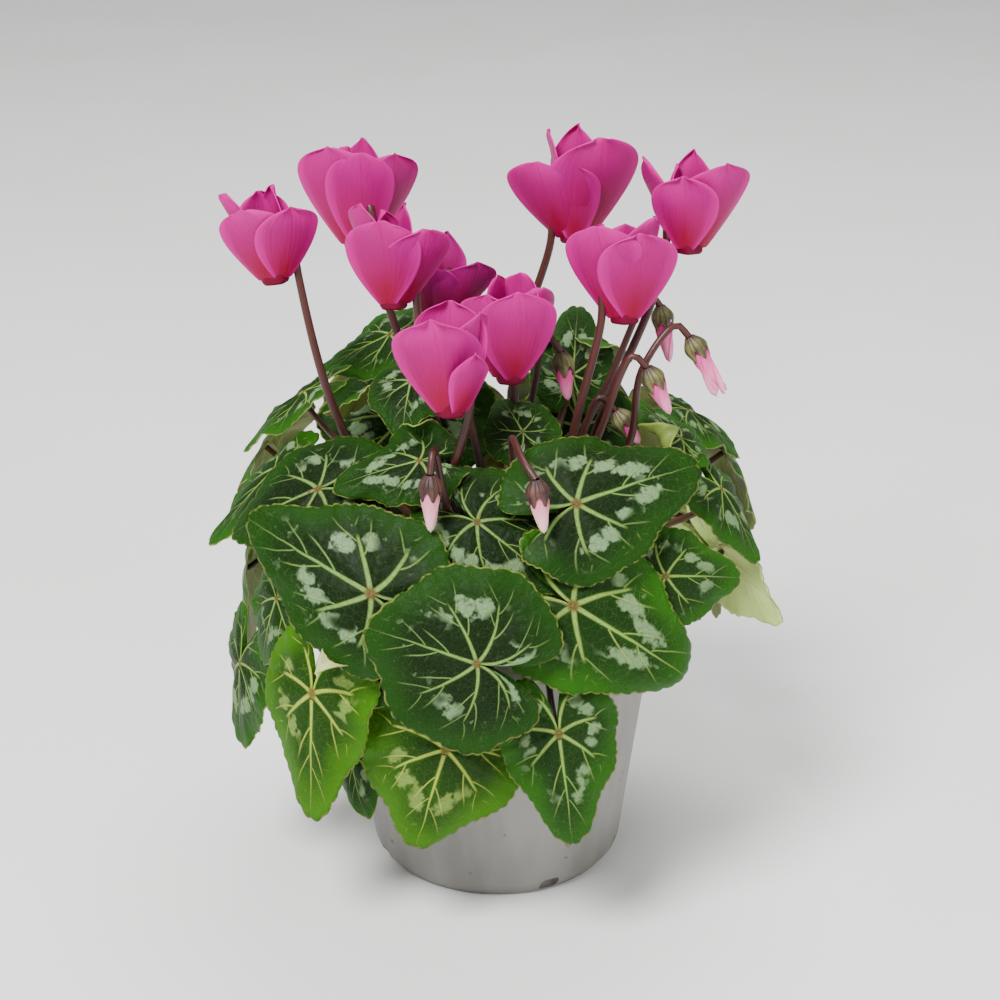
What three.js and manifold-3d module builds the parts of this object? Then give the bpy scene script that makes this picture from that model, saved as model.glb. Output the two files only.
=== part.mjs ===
// Potted cyclamen in millimetres, +Z up. The origin is the centre of the pot's flat foot, -Y the front.
import * as THREE from "three";
import { mergeVertices } from "three/addons/utils/BufferGeometryUtils.js";
import Module from "manifold-3d";

const wasm = await Module();
wasm.setup();

// ---- driving dimensions

const CLEAR = 0.3;
const POT = {
  height: 100, footRadius: 38, heelRadius: 43, heelHeight: 6, collarRadius: 54, collarHeight: 88,
  lipRadius: 57.8, lipFlare: 0.4, step: 1.5, wall: 1.3, facets: 26,
};
const DRAIN = { count: 4, width: 7, height: 5, depth: 9, sill: 1.2, first: -65 };
const SOIL = { top: 88, grain: 0.9, rings: 3, slack: 0.8, shoulder: 6 };
const TUBER = {
  radius: 25, crownRadius: 23.5, crownHeight: 94, shoulder: 91, waist: 84, belly: 76.5, bellyRadius: 19.4,
  bottom: 74, footRadius: 8, facets: 20,
};
// the rounded envelope that the blades follow: half sizes, the height of its middle and its squareness
const CROWN = { half: [90, 80, 86], middle: 80, square: 2.7 };
// heart shape: the round part's share of a leaf's length, the taper to its tip, the lobes' shortening and the
// notch between them
const HEART = { round: 0.7, taper: 0.42, lobes: 0.25, notch: 0.92, sinus: 0.32 };
const LEAF = { thickness: 0.9, cup: 3, wave: 1, waves: 5, drape: 0.6, tooth: 0.03, big: 44 };
const GRAIN = { large: { rays: 16, rings: [0.42, 0.76, 1] }, small: { rays: 12, rings: [0.55, 1] } };
// petioles: their seat under the blade, their first rise and the arch of the low ones over the pot's lip
const PETIOLE = {
  radius: 1.3, sides: 4, steps: 6, seat: 2.5, rise: 8.4, lowRise: 3.6, under: 16, arch: 6,
  crest: 107, inside: 46, outside: 63, back: 10, drop: 7,
};
const STEM = { radius: 1.35, sides: 5, rise: 9, steps: 7, hook: 4.7, hookSteps: 4 };
const CALYX = { radius: 4.2, height: 3.4, facets: 6, flowerFlare: 0.8, budFlare: 0.95, budScale: 0.85 };
const NOSE = { mouth: 5.2, top: 3.6, height: 8, recess: 2.5, lip: 1.2, facets: 8 };
const PETAL = {
  count: 5, thickness: 0.8, rows: 3, columns: 2, root: 0.8, narrow: 1.9, broad: 0.27, widest: 0.66, odd: 0.9,
  spread: 9, lean: 18, twist: 22, cup: 1.6, apart: 62, swing: 14,
};
const BUD = {
  radius: 3.1, facets: 8, ridge: 0.12, twist: 1.4, rings: [[0, 0.75], [0.28, 1], [0.6, 0.72], [0.92, 0.22]],
  stem: 1.15, sides: 4, steps: 9,
};
// rings on the tuber's crown where petioles and stems stand, and the least angle between two stands
const STAND = {
  low: { radius: 21, apart: 11 }, high: { radius: 16, apart: 14 },
  bloom: { radius: 10.5, apart: 25 }, inner: { radius: 4.6, apart: 60 },
};

const SHADES = { dark: "#24462a", mid: "#2f5a2c", bright: "#3f7a22", pale: "#c9d8a0" };
const FINISH = {
  pot: { color: "#9a9791", roughness: 0.5, metalness: 0 },
  soil: { color: "#3a2a1e", roughness: 0.95, metalness: 0 },
  tuber: { color: "#6b4a34", roughness: 0.85, metalness: 0 },
  stem: { color: "#5a2a22", roughness: 0.5, metalness: 0 },
  petal: { color: "#f0108a", roughness: 0.5, metalness: 0 },
  bud: { color: "#f58ab4", roughness: 0.5, metalness: 0 },
};

// ---- the plant's own layout

// A leaf: at, where its petiole meets the blade; face, the azimuth and elevation that the blade looks
// towards; turn, how far its tip is swung from downhill; length, from there to the tip; width, its breadth
// to that of a round blade; round, the share of the length that its round part takes; drape, how closely it
// follows the crown's envelope; low, a petiole over the pot's lip. A row with "with" shares that leaf's stand
// and node.
const LEAVES = [
  { name: "leaf_front", shade: "dark", at: [-6, -90, 113], face: [-94, 16], turn: -106,
    length: 34, width: 1.0, round: 0.88 },
  { name: "leaf_big_right", shade: "dark", at: [24, -66, 155], face: [-78, 44], turn: 106,
    length: 45, width: 0.9, round: 0.62 },
  { name: "leaf_centre", shade: "dark", at: [-6, -64, 148], face: [-90, 42], turn: 52, length: 32,
    width: 0.85, round: 0.78 },
  { name: "leaf_big_left", shade: "dark", at: [-38, -77, 130], face: [-106, 26], turn: -112,
    length: 52, width: 0.82, round: 0.62 },
  { name: "leaf_right_low", shade: "mid", at: [23.0, -78.3, 126.7], face: [-80, 20], turn: 55.7,
    length: 50, width: 0.86, round: 0.62 },
  { name: "leaf_front_right", shade: "mid", at: [19, -82, 85], face: [-84, 8], turn: 8,
    length: 42, width: 0.8, low: true, round: 0.58 },
  { name: "leaf_front_left", shade: "bright", at: [-16, -74, 75], face: [-96, 8], turn: -16,
    length: 40, width: 0.96, low: true, round: 0.72 },
  { name: "leaf_left_low", shade: "bright", at: [-57.4, -71.2, 93.2], face: [-117.8, 10.2],
    turn: -3.6, length: 46, width: 0.74, low: true, round: 0.6 },
  { name: "leaf_left_tip", with: "leaf_left_low", at: [-47, -60, 67], face: [-112, 4], turn: 4,
    length: 27, width: 0.62, low: true },
  { name: "leaf_far_left", shade: "mid", at: [-84, -34, 85], face: [-138, 10], turn: -11.7,
    length: 34, width: 0.8, low: true },
  { name: "leaf_between", shade: "dark", at: [-29.4, -74.1, 108.8], face: [-100, 14], turn: -44,
    length: 24, width: 1.1 },
  { name: "leaf_dark_low", with: "leaf_between", at: [-29.8, -65.7, 89.8], face: [-100, 6],
    turn: -4, length: 30, width: 0.62, low: true },
  { name: "leaf_upper_left", shade: "dark", at: [-55.9, -43.4, 150.4], face: [-113.1, 54.5],
    turn: -64.3, length: 38, width: 0.9, round: 0.74 },
  { name: "leaf_mid_left", shade: "dark", at: [-23.9, -49.9, 162.5], face: [-108.5, 53.5],
    turn: -66, length: 27, width: 0.78, round: 0.7 },
  { name: "leaf_top_left", shade: "dark", at: [-27.4, -19.0, 177.2], face: [-107.8, 60.5],
    turn: 6, length: 19, width: 1.1, drape: 0 },
  { name: "leaf_back_left_top", shade: "mid", at: [-36, 26, 178], face: [-140, 58], turn: -40,
    length: 26, width: 0.9, drape: 0 },
  { name: "leaf_olive", with: "leaf_back_left_top", at: [-38, 0, 170], face: [130, 50], turn: 60,
    length: 20, width: 0.9, drape: 0 },
  { name: "leaf_far_left_high", shade: "mid", at: [-64, 8, 164], face: [-178, 52], turn: -10,
    length: 30, width: 0.7, drape: 0 },
  { name: "leaf_left_drop", shade: "mid", at: [-72, -18, 147], face: [-160, 50], turn: -6,
    length: 32, width: 0.8, drape: 0.2 },
  { name: "leaf_left_sliver", with: "leaf_left_drop", at: [-69.3, -51.5, 116.6],
    face: [-135.4, 15.6], turn: -17.9, length: 25, width: 0.9 },
  { name: "leaf_right_mid", shade: "mid", at: [52, -62, 129], face: [-62, 26], turn: 80,
    length: 32, width: 0.8, round: 0.66 },
  { name: "leaf_right_side", shade: "mid", at: [72.0, -24.4, 142.8], face: [-33.6, 38.8],
    turn: 7.6, length: 26, width: 0.95 },
  { name: "leaf_right_top", with: "leaf_right_side", at: [58.5, -22.8, 159.6], face: [-40, 54],
    turn: 171.2, length: 20, width: 1.0 },
  { name: "leaf_right_sliver", shade: "mid", at: [64, 12, 156], face: [-5, 58], turn: 10,
    length: 24, width: 0.9, drape: 0.2 },
  { name: "leaf_back_right", with: "leaf_right_sliver", at: [78, 32, 136], face: [18, 30],
    turn: 0, length: 34, width: 0.95 },
  { name: "leaf_far_right", shade: "pale", at: [73.5, -8, 115.5], face: [42, 6], turn: -58,
    length: 33, width: 0.8, drape: 0 },
  { name: "leaf_right_low_side", with: "leaf_far_right", at: [76, 16, 106], face: [12, 12],
    turn: 4, length: 28, width: 0.95, low: true },
  { name: "leaf_top_back", shade: "dark", at: [26, 34, 161], face: [-90, 30], turn: 176,
    length: 24, width: 0.9, drape: 0 },
  { name: "leaf_back_top_right", with: "leaf_top_back", at: [28, 50, 169], face: [66, 56],
    turn: 4, length: 30, width: 0.95 },
  { name: "leaf_centre_small", shade: "dark", at: [8, -34, 166], face: [-100, 60], turn: -150,
    length: 18, width: 1.0, drape: 0 },
  { name: "leaf_inner_left", with: "leaf_back_3", at: [-31.0, 47, 140.4], face: [-86, 24],
    turn: 6.9, length: 35, width: 1.3, drape: 0 },
  { name: "leaf_inner_right", with: "leaf_back_1", at: [27.9, 41.3, 138.7], face: [-94, 20],
    turn: 0.7, length: 34, width: 0.9, drape: 0 },
  { name: "leaf_back_1", shade: "mid", at: [48, 68, 138], face: [62, 32], turn: 10, length: 44,
    width: 0.85 },
  { name: "leaf_back_low_1", with: "leaf_back_1", at: [72, 56, 98], face: [40, 8], turn: -4,
    length: 38, width: 0.85, low: true },
  { name: "leaf_back_2", shade: "dark", at: [4, 72, 136], face: [90, 28], turn: -10, length: 42,
    width: 0.85 },
  { name: "leaf_back_low_2", with: "leaf_back_2", at: [27, 75, 96], face: [82, 6], turn: 6,
    length: 38, width: 0.85, low: true },
  { name: "leaf_back_low_3", with: "leaf_back_2", at: [-14, 78, 94], face: [94, 6], turn: 8,
    length: 38, width: 0.85, low: true },
  { name: "leaf_back_3", shade: "mid", at: [-40, 72, 144], face: [108, 36], turn: 14, length: 42,
    width: 0.9 },
  { name: "leaf_back_low_4", with: "leaf_back_3", at: [-59, 66, 98], face: [122, 6], turn: -6,
    length: 38, width: 0.85, low: true },
  { name: "leaf_back_left", with: "leaf_far_left_high", at: [-79.6, 38.6, 134.6], face: [156, 32],
    turn: -8, length: 34, width: 0.9 },
  { name: "leaf_left_low_side", with: "leaf_far_left", at: [-86, 14, 100], face: [172, 8],
    turn: 4, length: 36, width: 0.9, low: true },
];

// A flower: at, the middle of its mouth; lean, the azimuth and angle that its top tips towards; back, the
// side its stem rises on; length, of its petals; via, points on the stem's way up.
const FLOWERS = [
  { name: "flower_1", at: [-70, -10, 208], lean: [150, 8], back: 15, length: 30,
    via: [[-36, -10, 130], [-53, -12, 167]] },
  { name: "flower_2", at: [-46, 28, 208], lean: [90, 8], back: -50, length: 36,
    via: [[-17.7, 7.8, 130], [-29.2, 10.3, 172]] },
  { name: "flower_3", at: [-33, -8, 199], lean: [90, 6], back: 10, length: 33,
    via: [[-12, -5, 130], [-22, -6, 168]] },
  { name: "flower_4", at: [-19, 22, 185], lean: [60, 10], back: 60, length: 29,
    via: [[-5, 14, 130], [-11.3, 23.8, 160]] },
  { name: "flower_5", at: [-14, -55, 180], lean: [100, 6], back: 40, length: 34,
    via: [[-6.9, -28, 116], [-16.3, -43.4, 141]] },
  { name: "flower_6", at: [4, -22, 179], lean: [80, 4], back: 80, length: 34,
    via: [[8.2, -8, 125], [6.3, -17.2, 158]] },
  { name: "flower_7", at: [25, 15, 214], lean: [90, 6], back: 185, length: 36,
    via: [[7.5, 16.6, 130], [5.7, 15.4, 170]] },
  { name: "flower_8", at: [40, -20, 198], lean: [90, 8], back: 190, length: 33,
    via: [[20.2, -19.5, 130], [24, -25.1, 161]] },
  { name: "flower_9", at: [61, 0, 215], lean: [80, 4], back: 190, length: 32,
    via: [[24, -4, 130], [34.1, -8.3, 162], [49.9, -3.6, 200]] },
];

// A bud: calyx, the middle of its calyx; tip, its point; hook, the top of its stem; via, points on the way
// up; inner, a stand in the crown's middle.
const BUDS = [
  { name: "bud_1", calyx: [54, 12, 189], tip: [57, 11, 173], hook: [50, 12, 196],
    via: [[17.2, 3.6, 130], [36, 6, 167]] },
  { name: "bud_2", calyx: [62, -22, 190], tip: [70, -24, 177], hook: [56, -22, 197],
    via: [[26, -12, 130], [42, -22, 157], [45.4, -26.7, 184]] },
  { name: "bud_3", calyx: [48, -34, 184], tip: [54, -35, 172], hook: [42, -34, 191],
    via: [[21.8, -18, 130], [32.7, -29.7, 165]] },
  { name: "bud_4", calyx: [21, -8, 180], tip: [23, -9, 167], hook: [16, -7, 189],
    via: [[7, -3, 130], [12, -5, 170]], inner: true },
  { name: "bud_5", calyx: [-20, -69, 162], tip: [-20, -70, 147], hook: [-19, -65, 172],
    via: [[-2.5, -24.6, 120], [-14.8, -58.6, 150]] },
  { name: "bud_6", calyx: [12, -78, 164], tip: [14, -80, 151], hook: [8, -73, 171],
    via: [[-0.1, -29.7, 120], [4.9, -45.1, 160], [4.5, -50.8, 170]] },
  { name: "bud_7", calyx: [40, -15, 163], tip: [46, -16, 155], hook: [33, -14, 170],
    via: [[20, -9, 130], [28, -13, 158]], inner: true },
];

// ---- geometry helpers

const degrees = THREE.MathUtils.degToRad;
const vector = (point) => new THREE.Vector3(...point);
const UP = new THREE.Vector3(0, 0, 1);
const MIDDLE = new THREE.Vector3(0, 0, CROWN.middle);

function pointing(azimuth, elevation) {
  const level = Math.cos(degrees(elevation));
  return new THREE.Vector3(
    Math.cos(degrees(azimuth)) * level,
    Math.sin(degrees(azimuth)) * level,
    Math.sin(degrees(elevation)),
  );
}

function geometryOf(positions, faces) {
  const geometry = new THREE.BufferGeometry();
  geometry.setAttribute("position", new THREE.Float32BufferAttribute(positions, 3));
  geometry.setIndex(faces);
  return geometry;
}

function solid(geometry) {
  const bare = geometry.clone();
  bare.deleteAttribute("normal");
  bare.deleteAttribute("uv");
  const merged = mergeVertices(bare, 1e-4);
  return new wasm.Manifold(new wasm.Mesh({
    numProp: 3,
    vertProperties: new Float32Array(merged.attributes.position.array),
    triVerts: new Uint32Array(merged.index.array),
  }));
}

const joined = (bodies) => bodies.reduce((whole, body) => whole.add(body));

const plant = new THREE.Group();

function place(name, body, finish) {
  const mesh = body.getMesh();
  const geometry = geometryOf(Array.from(mesh.vertProperties), Array.from(mesh.triVerts));
  geometry.computeVertexNormals();
  const part = new THREE.Mesh(geometry, new THREE.MeshStandardMaterial(finish));
  part.name = name;
  plant.add(part);
}

// a round rod along way points
function rod(points, radius, sides, steps) {
  const corners = Array.from({ length: sides }, (_, side) => {
    const angle = (2 * Math.PI * side) / sides;
    return new THREE.Vector2(radius * Math.cos(angle), radius * Math.sin(angle));
  });
  const extrudePath = new THREE.CatmullRomCurve3(points, false, "centripetal");
  const shape = new THREE.Shape(corners);
  return solid(new THREE.ExtrudeGeometry(shape, { steps, bevelEnabled: false, extrudePath }));
}

// a closed thin plate: the same triangles on both faces, joined along every free edge
function plate(front, back, faces) {
  const all = [...faces];
  const edges = new Map();
  for (let at = 0; at < faces.length; at += 3) {
    for (let corner = 0; corner < 3; corner += 1) {
      const from = faces[at + corner];
      const to = faces[at + ((corner + 1) % 3)];
      if (edges.has(`${to},${from}`)) edges.delete(`${to},${from}`);
      else edges.set(`${from},${to}`, [from, to]);
    }
    all.push(front.length + faces[at], front.length + faces[at + 2], front.length + faces[at + 1]);
  }
  for (const [from, to] of edges.values()) {
    all.push(from, front.length + from, front.length + to, from, front.length + to, to);
  }
  return solid(geometryOf([...front, ...back].flatMap((point) => point.toArray()), all));
}

// ---- pot, soil and tuber

function lathed(profile, facets) {
  const outline = profile.map(([radius, z]) => new THREE.Vector2(radius, z));
  return solid(new THREE.LatheGeometry(outline, facets).rotateX(Math.PI / 2));
}

function buildPot() {
  const { footRadius, heelRadius, heelHeight, collarRadius, collarHeight, lipRadius, height } = POT;
  const { wall, step } = POT;
  let pot = lathed([
    [0, 0], [footRadius, 0], [heelRadius, heelHeight], [collarRadius, collarHeight],
    [lipRadius, collarHeight + step], [lipRadius + POT.lipFlare, height], [lipRadius - wall, height],
    [collarRadius - wall, collarHeight + step], [heelRadius - wall, heelHeight], [footRadius - wall, wall],
    [0, wall],
  ], POT.facets);
  for (let drain = 0; drain < DRAIN.count; drain += 1) {
    const slot = new THREE.BoxGeometry(DRAIN.depth, DRAIN.width, DRAIN.height);
    slot.translate(heelRadius, 0, DRAIN.height / 2 + DRAIN.sill);
    slot.rotateZ(degrees(DRAIN.first + (360 * drain) / DRAIN.count));
    pot = pot.subtract(solid(slot));
  }
  return pot;
}

// peat: flat below, with a hollow for the tuber and a crumbly top
function buildSoil() {
  const slope = (POT.collarRadius - POT.heelRadius) / (POT.collarHeight - POT.heelHeight);
  const heel = POT.heelRadius - POT.wall - CLEAR - SOIL.slack;
  const rim = heel + slope * (SOIL.top - POT.heelHeight);
  const floor = POT.wall + CLEAR;
  const hollow = TUBER.radius + CLEAR;
  const inner = hollow + SOIL.shoulder;
  const profile = [
    [0, floor], [POT.footRadius - POT.wall - SOIL.slack, floor], [heel, POT.heelHeight + 1],
    [rim, SOIL.top - 1],
  ];
  for (let ring = 0; ring < SOIL.rings; ring += 1) {
    profile.push([THREE.MathUtils.lerp(rim - 3, inner, ring / (SOIL.rings - 1)), SOIL.top]);
  }
  profile.push(
    [hollow, TUBER.waist], [TUBER.bellyRadius + CLEAR, TUBER.belly - CLEAR],
    [TUBER.footRadius + CLEAR, TUBER.bottom - CLEAR], [0, TUBER.bottom - CLEAR],
  );
  return lathed(profile, TUBER.facets).warp((point) => {
    if (point[2] > SOIL.top - 0.5) {
      point[2] += SOIL.grain * Math.sin(point[0] * 0.9) * Math.cos(point[1] * 0.8);
    }
  });
}

function buildTuber() {
  return lathed([
    [0, TUBER.bottom], [TUBER.footRadius, TUBER.bottom], [TUBER.bellyRadius, TUBER.belly],
    [TUBER.radius, TUBER.waist], [TUBER.radius, TUBER.shoulder], [TUBER.crownRadius, TUBER.crownHeight],
    [0, TUBER.crownHeight],
  ], TUBER.facets);
}

// ---- leaves

// distance from the crown's middle to its envelope along the way to a point
function envelope(offset) {
  const { half, square } = CROWN;
  const sum = Math.abs(offset.x / half[0]) ** square + Math.abs(offset.y / half[1]) ** square
    + Math.abs(offset.z / half[2]) ** square;
  return offset.length() / sum ** (1 / square);
}

function bladeFrame(leaf) {
  const normal = pointing(...leaf.face);
  const downhill = UP.clone().negate().addScaledVector(normal, normal.z).normalize();
  const across = new THREE.Vector3().crossVectors(normal, downhill);
  const turn = degrees(leaf.turn);
  const tip = downhill.multiplyScalar(Math.cos(turn)).addScaledVector(across, Math.sin(turn));
  return { normal, tip, side: new THREE.Vector3().crossVectors(normal, tip) };
}

// heart-shaped outline: how far the margin lies from the petiole at an angle from the tip
function marginReach(leaf, angle) {
  const share = Math.abs(angle) / Math.PI;
  const body = leaf.round ?? HEART.round;
  const point = body + (1 - body) * Math.exp(-((angle / HEART.taper) ** 2));
  const notch = 1 - HEART.notch * Math.exp(-(((Math.PI - Math.abs(angle)) / HEART.sinus) ** 2));
  return leaf.length * point * (1 - HEART.lobes * share ** 3) * notch;
}

// a point of the blade's upper face; ring runs from 0 at the petiole to 1 at the margin
function bladePoint(leaf, frame, angle, ring, tooth) {
  const reach = ring * marginReach(leaf, angle) * (1 + tooth);
  const at = vector(leaf.at);
  const flat = at.clone().addScaledVector(frame.tip, reach * Math.cos(angle))
    .addScaledVector(frame.side, reach * Math.sin(angle) * leaf.width);
  const fromMiddle = at.clone().sub(MIDDLE);
  const layer = fromMiddle.length() - envelope(fromMiddle);
  const offset = flat.clone().sub(MIDDLE);
  const draped = MIDDLE.clone().addScaledVector(offset.clone().normalize(), envelope(offset) + layer);
  const relief = LEAF.wave * ring ** 3 * Math.sin(LEAF.waves * angle + leaf.length) - LEAF.cup * ring ** 2;
  return flat.lerp(draped, leaf.drape ?? LEAF.drape).addScaledVector(frame.normal, relief);
}

function buildBlade(leaf) {
  const frame = bladeFrame(leaf);
  const { rays, rings } = leaf.length > LEAF.big ? GRAIN.large : GRAIN.small;
  const front = [bladePoint(leaf, frame, 0, 0, 0)];
  const faces = [];
  rings.forEach((ring, order) => {
    const first = 1 + order * rays;
    for (let ray = 0; ray < rays; ray += 1) {
      const angle = -Math.PI + (2 * Math.PI * ray) / rays;
      const tooth = ring === 1 ? LEAF.tooth * (ray % 2 ? 1 : -1) : 0;
      front.push(bladePoint(leaf, frame, angle, ring, tooth));
      const next = (ray + 1) % rays;
      if (order === 0) {
        faces.push(0, first + ray, first + next);
      } else {
        const inner = first - rays;
        faces.push(inner + ray, first + ray, first + next, inner + ray, first + next, inner + next);
      }
    }
  });
  const back = front.map((point) => point.clone().addScaledVector(frame.normal, -LEAF.thickness));
  return plate(front, back, faces);
}

// from its stand on the crown the petiole rises, arches out and meets the blade from below;
// the lowest ones clear the pot's lip first
function petiolePoints(leaf, stand) {
  const { normal, tip } = bladeFrame(leaf);
  const end = vector(leaf.at).addScaledVector(tip, PETIOLE.seat).addScaledVector(normal, -LEAF.thickness / 2);
  const outward = new THREE.Vector3(end.x, end.y, 0).normalize();
  const rise = leaf.low ? PETIOLE.lowRise : PETIOLE.rise;
  const points = [stand, stand.clone().addScaledVector(UP, rise).addScaledVector(outward, 0.5)];
  if (leaf.low) {
    points.push(outward.clone().multiplyScalar(PETIOLE.inside).setZ(PETIOLE.crest + 2));
    points.push(outward.clone().multiplyScalar(PETIOLE.outside).setZ(PETIOLE.crest));
    points.push(end.clone().addScaledVector(outward, -PETIOLE.back).addScaledVector(UP, PETIOLE.drop));
  } else {
    const under = end.clone().addScaledVector(normal, -PETIOLE.under);
    points.push(stand.clone().lerp(under, 0.5).addScaledVector(UP, PETIOLE.arch), under);
  }
  return [...points, end];
}

// stands lie on a ring in the directions they serve, pushed apart until neighbours clear each other
function spreadStands(rows, { radius, apart }, targetOf) {
  const places = rows.map((row) => {
    const [x, y] = targetOf(row);
    return { name: row.name, azimuth: THREE.MathUtils.radToDeg(Math.atan2(y, x)) };
  }).sort((one, other) => one.azimuth - other.azimuth);
  for (let round = 0; round < 200; round += 1) {
    places.forEach((place, order) => {
      const next = places[(order + 1) % places.length];
      const gap = next.azimuth - place.azimuth + (order === places.length - 1 ? 360 : 0);
      const push = Math.max(0, apart - gap) / 2;
      place.azimuth -= push;
      next.azimuth += push;
    });
  }
  return new Map(places.map(({ name, azimuth }) => [
    name, pointing(azimuth, 0).multiplyScalar(radius).setZ(TUBER.crownHeight + CLEAR),
  ]));
}

function buildLeaves() {
  const plants = LEAVES.filter((leaf) => !leaf.with);
  const stands = new Map([
    ...spreadStands(plants.filter((leaf) => leaf.low), STAND.low, (leaf) => leaf.at),
    ...spreadStands(plants.filter((leaf) => !leaf.low), STAND.high, (leaf) => leaf.at),
  ]);
  for (const leaf of plants) {
    const members = [leaf, ...LEAVES.filter((other) => other.with === leaf.name)];
    const bodies = members.flatMap((member) => [
      buildBlade(member),
      rod(petiolePoints(member, stands.get(leaf.name)), PETIOLE.radius, PETIOLE.sides, PETIOLE.steps),
    ]);
    place(leaf.name, joined(bodies), { color: SHADES[leaf.shade], roughness: 0.5, metalness: 0 });
  }
}

// ---- flowers

// a flower's own axes: its axis from mouth to calyx, and the side its stem rises on
function bloomFrame(flower) {
  const [azimuth, angle] = flower.lean;
  const axis = pointing(azimuth, 90 - angle);
  const back = pointing(flower.back, 0);
  back.addScaledVector(axis, -back.dot(axis)).normalize();
  const side = new THREE.Vector3().crossVectors(axis, back);
  return new THREE.Matrix4().makeBasis(back, side, axis).setPosition(vector(flower.at));
}

// half the breadth of a petal at a share of its length: narrow at the mouth, widest past the middle
function petalHalf(flower, along) {
  const { narrow, widest } = PETAL;
  const broad = flower.length * PETAL.broad;
  if (along < widest) {
    return narrow + (broad - narrow) * Math.sin((Math.PI / 2) * (along / widest)) ** 1.4;
  }
  return broad * (1 - ((along - widest) / (1.03 - widest)) ** 2) ** 0.6;
}

// a swept-back petal: from the rim of the mouth it turns up, widens and twists
function petalPoint(flower, petal, along, across) {
  const sweep = petalHalf(flower, along) * (petal % 2 ? PETAL.odd : 1) * across;
  const radius = NOSE.mouth - PETAL.root + PETAL.spread * along;
  const lean = degrees(PETAL.lean + PETAL.twist * along);
  const cup = PETAL.cup * across ** 2 * along;
  const point = new THREE.Vector3(
    radius - cup * Math.cos(lean) + sweep * Math.sin(lean),
    sweep * Math.cos(lean) + cup * Math.sin(lean),
    PETAL.root + (flower.length - 1.4) * along,
  );
  const turn = degrees(PETAL.apart * (petal - (PETAL.count - 1) / 2) + PETAL.swing);
  return point.applyAxisAngle(UP, Math.PI + turn);
}

function buildPetal(flower, petal) {
  const front = [];
  const back = [];
  const faces = [];
  const wide = PETAL.columns + 1;
  const near = 0.01;
  for (let row = 0; row <= PETAL.rows; row += 1) {
    for (let column = 0; column < wide; column += 1) {
      const along = row / PETAL.rows;
      const across = (2 * column) / PETAL.columns - 1;
      const below = petalPoint(flower, petal, Math.max(0, along - near), across);
      const above = petalPoint(flower, petal, Math.min(1, along + near), across);
      const left = petalPoint(flower, petal, along, across - near);
      const right = petalPoint(flower, petal, along, across + near);
      const normal = right.sub(left).cross(above.sub(below)).normalize();
      const point = petalPoint(flower, petal, along, across);
      front.push(point);
      back.push(point.clone().addScaledVector(normal, -PETAL.thickness));
      if (row < PETAL.rows && column < PETAL.columns) {
        const at = row * wide + column;
        faces.push(at, at + 1, at + wide + 1, at, at + wide + 1, at + wide);
      }
    }
  }
  return plate(front, back, faces);
}

function buildCorolla(flower) {
  const nose = lathed([
    [0, NOSE.recess], [NOSE.mouth - NOSE.lip, -PETAL.root], [NOSE.mouth, -0.2], [NOSE.top, NOSE.height],
    [0, NOSE.height],
  ], NOSE.facets);
  const petals = Array.from({ length: PETAL.count }, (_, petal) => buildPetal(flower, petal));
  return joined([nose, ...petals]).transform(bloomFrame(flower).elements);
}

// flared cup that the stem ends in, standing on the nose's top
function calyx(flare) {
  return lathed([
    [0, 0], [CALYX.radius * flare, 0], [CALYX.radius, CALYX.height / 2], [STEM.radius, CALYX.height],
    [0, CALYX.height],
  ], CALYX.facets);
}

// the stem rises behind the bloom and hooks over into the calyx
function buildFlowerStem(flower, stand) {
  const frame = bloomFrame(flower);
  const base = NOSE.height + CLEAR;
  const top = base + CALYX.height;
  const reach = 2 * STEM.hook;
  const crest = top + STEM.hook;
  const shoulder = top + STEM.hook / 2;
  const local = (x, z) => new THREE.Vector3(x, 0, z).applyMatrix4(frame);
  const lift = stand.clone().addScaledVector(UP, STEM.rise);
  const rise = [stand, lift, ...flower.via.map(vector), local(reach, 0), local(reach, top)];
  const hook = [local(reach, top - 1), local(reach * 0.93, shoulder), local(reach / 2, crest),
    local(reach * 0.07, shoulder), local(0, top - 1.5)];
  const cup = calyx(CALYX.flowerFlare).translate([0, 0, base]).transform(frame.elements);
  return joined([
    rod(rise, STEM.radius, STEM.sides, STEM.steps), rod(hook, STEM.radius, STEM.sides, STEM.hookSteps), cup,
  ]);
}

// ---- buds

function budFrame(bud) {
  const axis = vector(bud.tip).sub(vector(bud.calyx)).normalize();
  const turn = new THREE.Quaternion().setFromUnitVectors(UP, axis);
  return new THREE.Matrix4().makeRotationFromQuaternion(turn).setPosition(vector(bud.calyx));
}

// furled petals: a cone with twisted ridges
function buildBud(bud) {
  const length = vector(bud.tip).distanceTo(vector(bud.calyx));
  const points = [new THREE.Vector3(0, 0, 0)];
  const faces = [];
  BUD.rings.forEach(([along, width], order) => {
    const first = 1 + order * BUD.facets;
    const below = first - BUD.facets;
    for (let side = 0; side < BUD.facets; side += 1) {
      const angle = (2 * Math.PI * side) / BUD.facets + along * BUD.twist;
      const radius = BUD.radius * width * (1 + (side % 2 ? BUD.ridge : -BUD.ridge));
      points.push(new THREE.Vector3(radius * Math.cos(angle), radius * Math.sin(angle), along * length));
      const next = (side + 1) % BUD.facets;
      if (order === 0) {
        faces.push(0, first + next, first + side);
      } else {
        faces.push(below + side, below + next, first + next, below + side, first + next, first + side);
      }
    }
  });
  const last = points.length - BUD.facets;
  points.push(new THREE.Vector3(0, 0, length));
  for (let side = 0; side < BUD.facets; side += 1) {
    faces.push(points.length - 1, last + side, last + ((side + 1) % BUD.facets));
  }
  const cone = solid(geometryOf(points.flatMap((point) => point.toArray()), faces));
  return cone.transform(budFrame(bud).elements);
}

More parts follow.
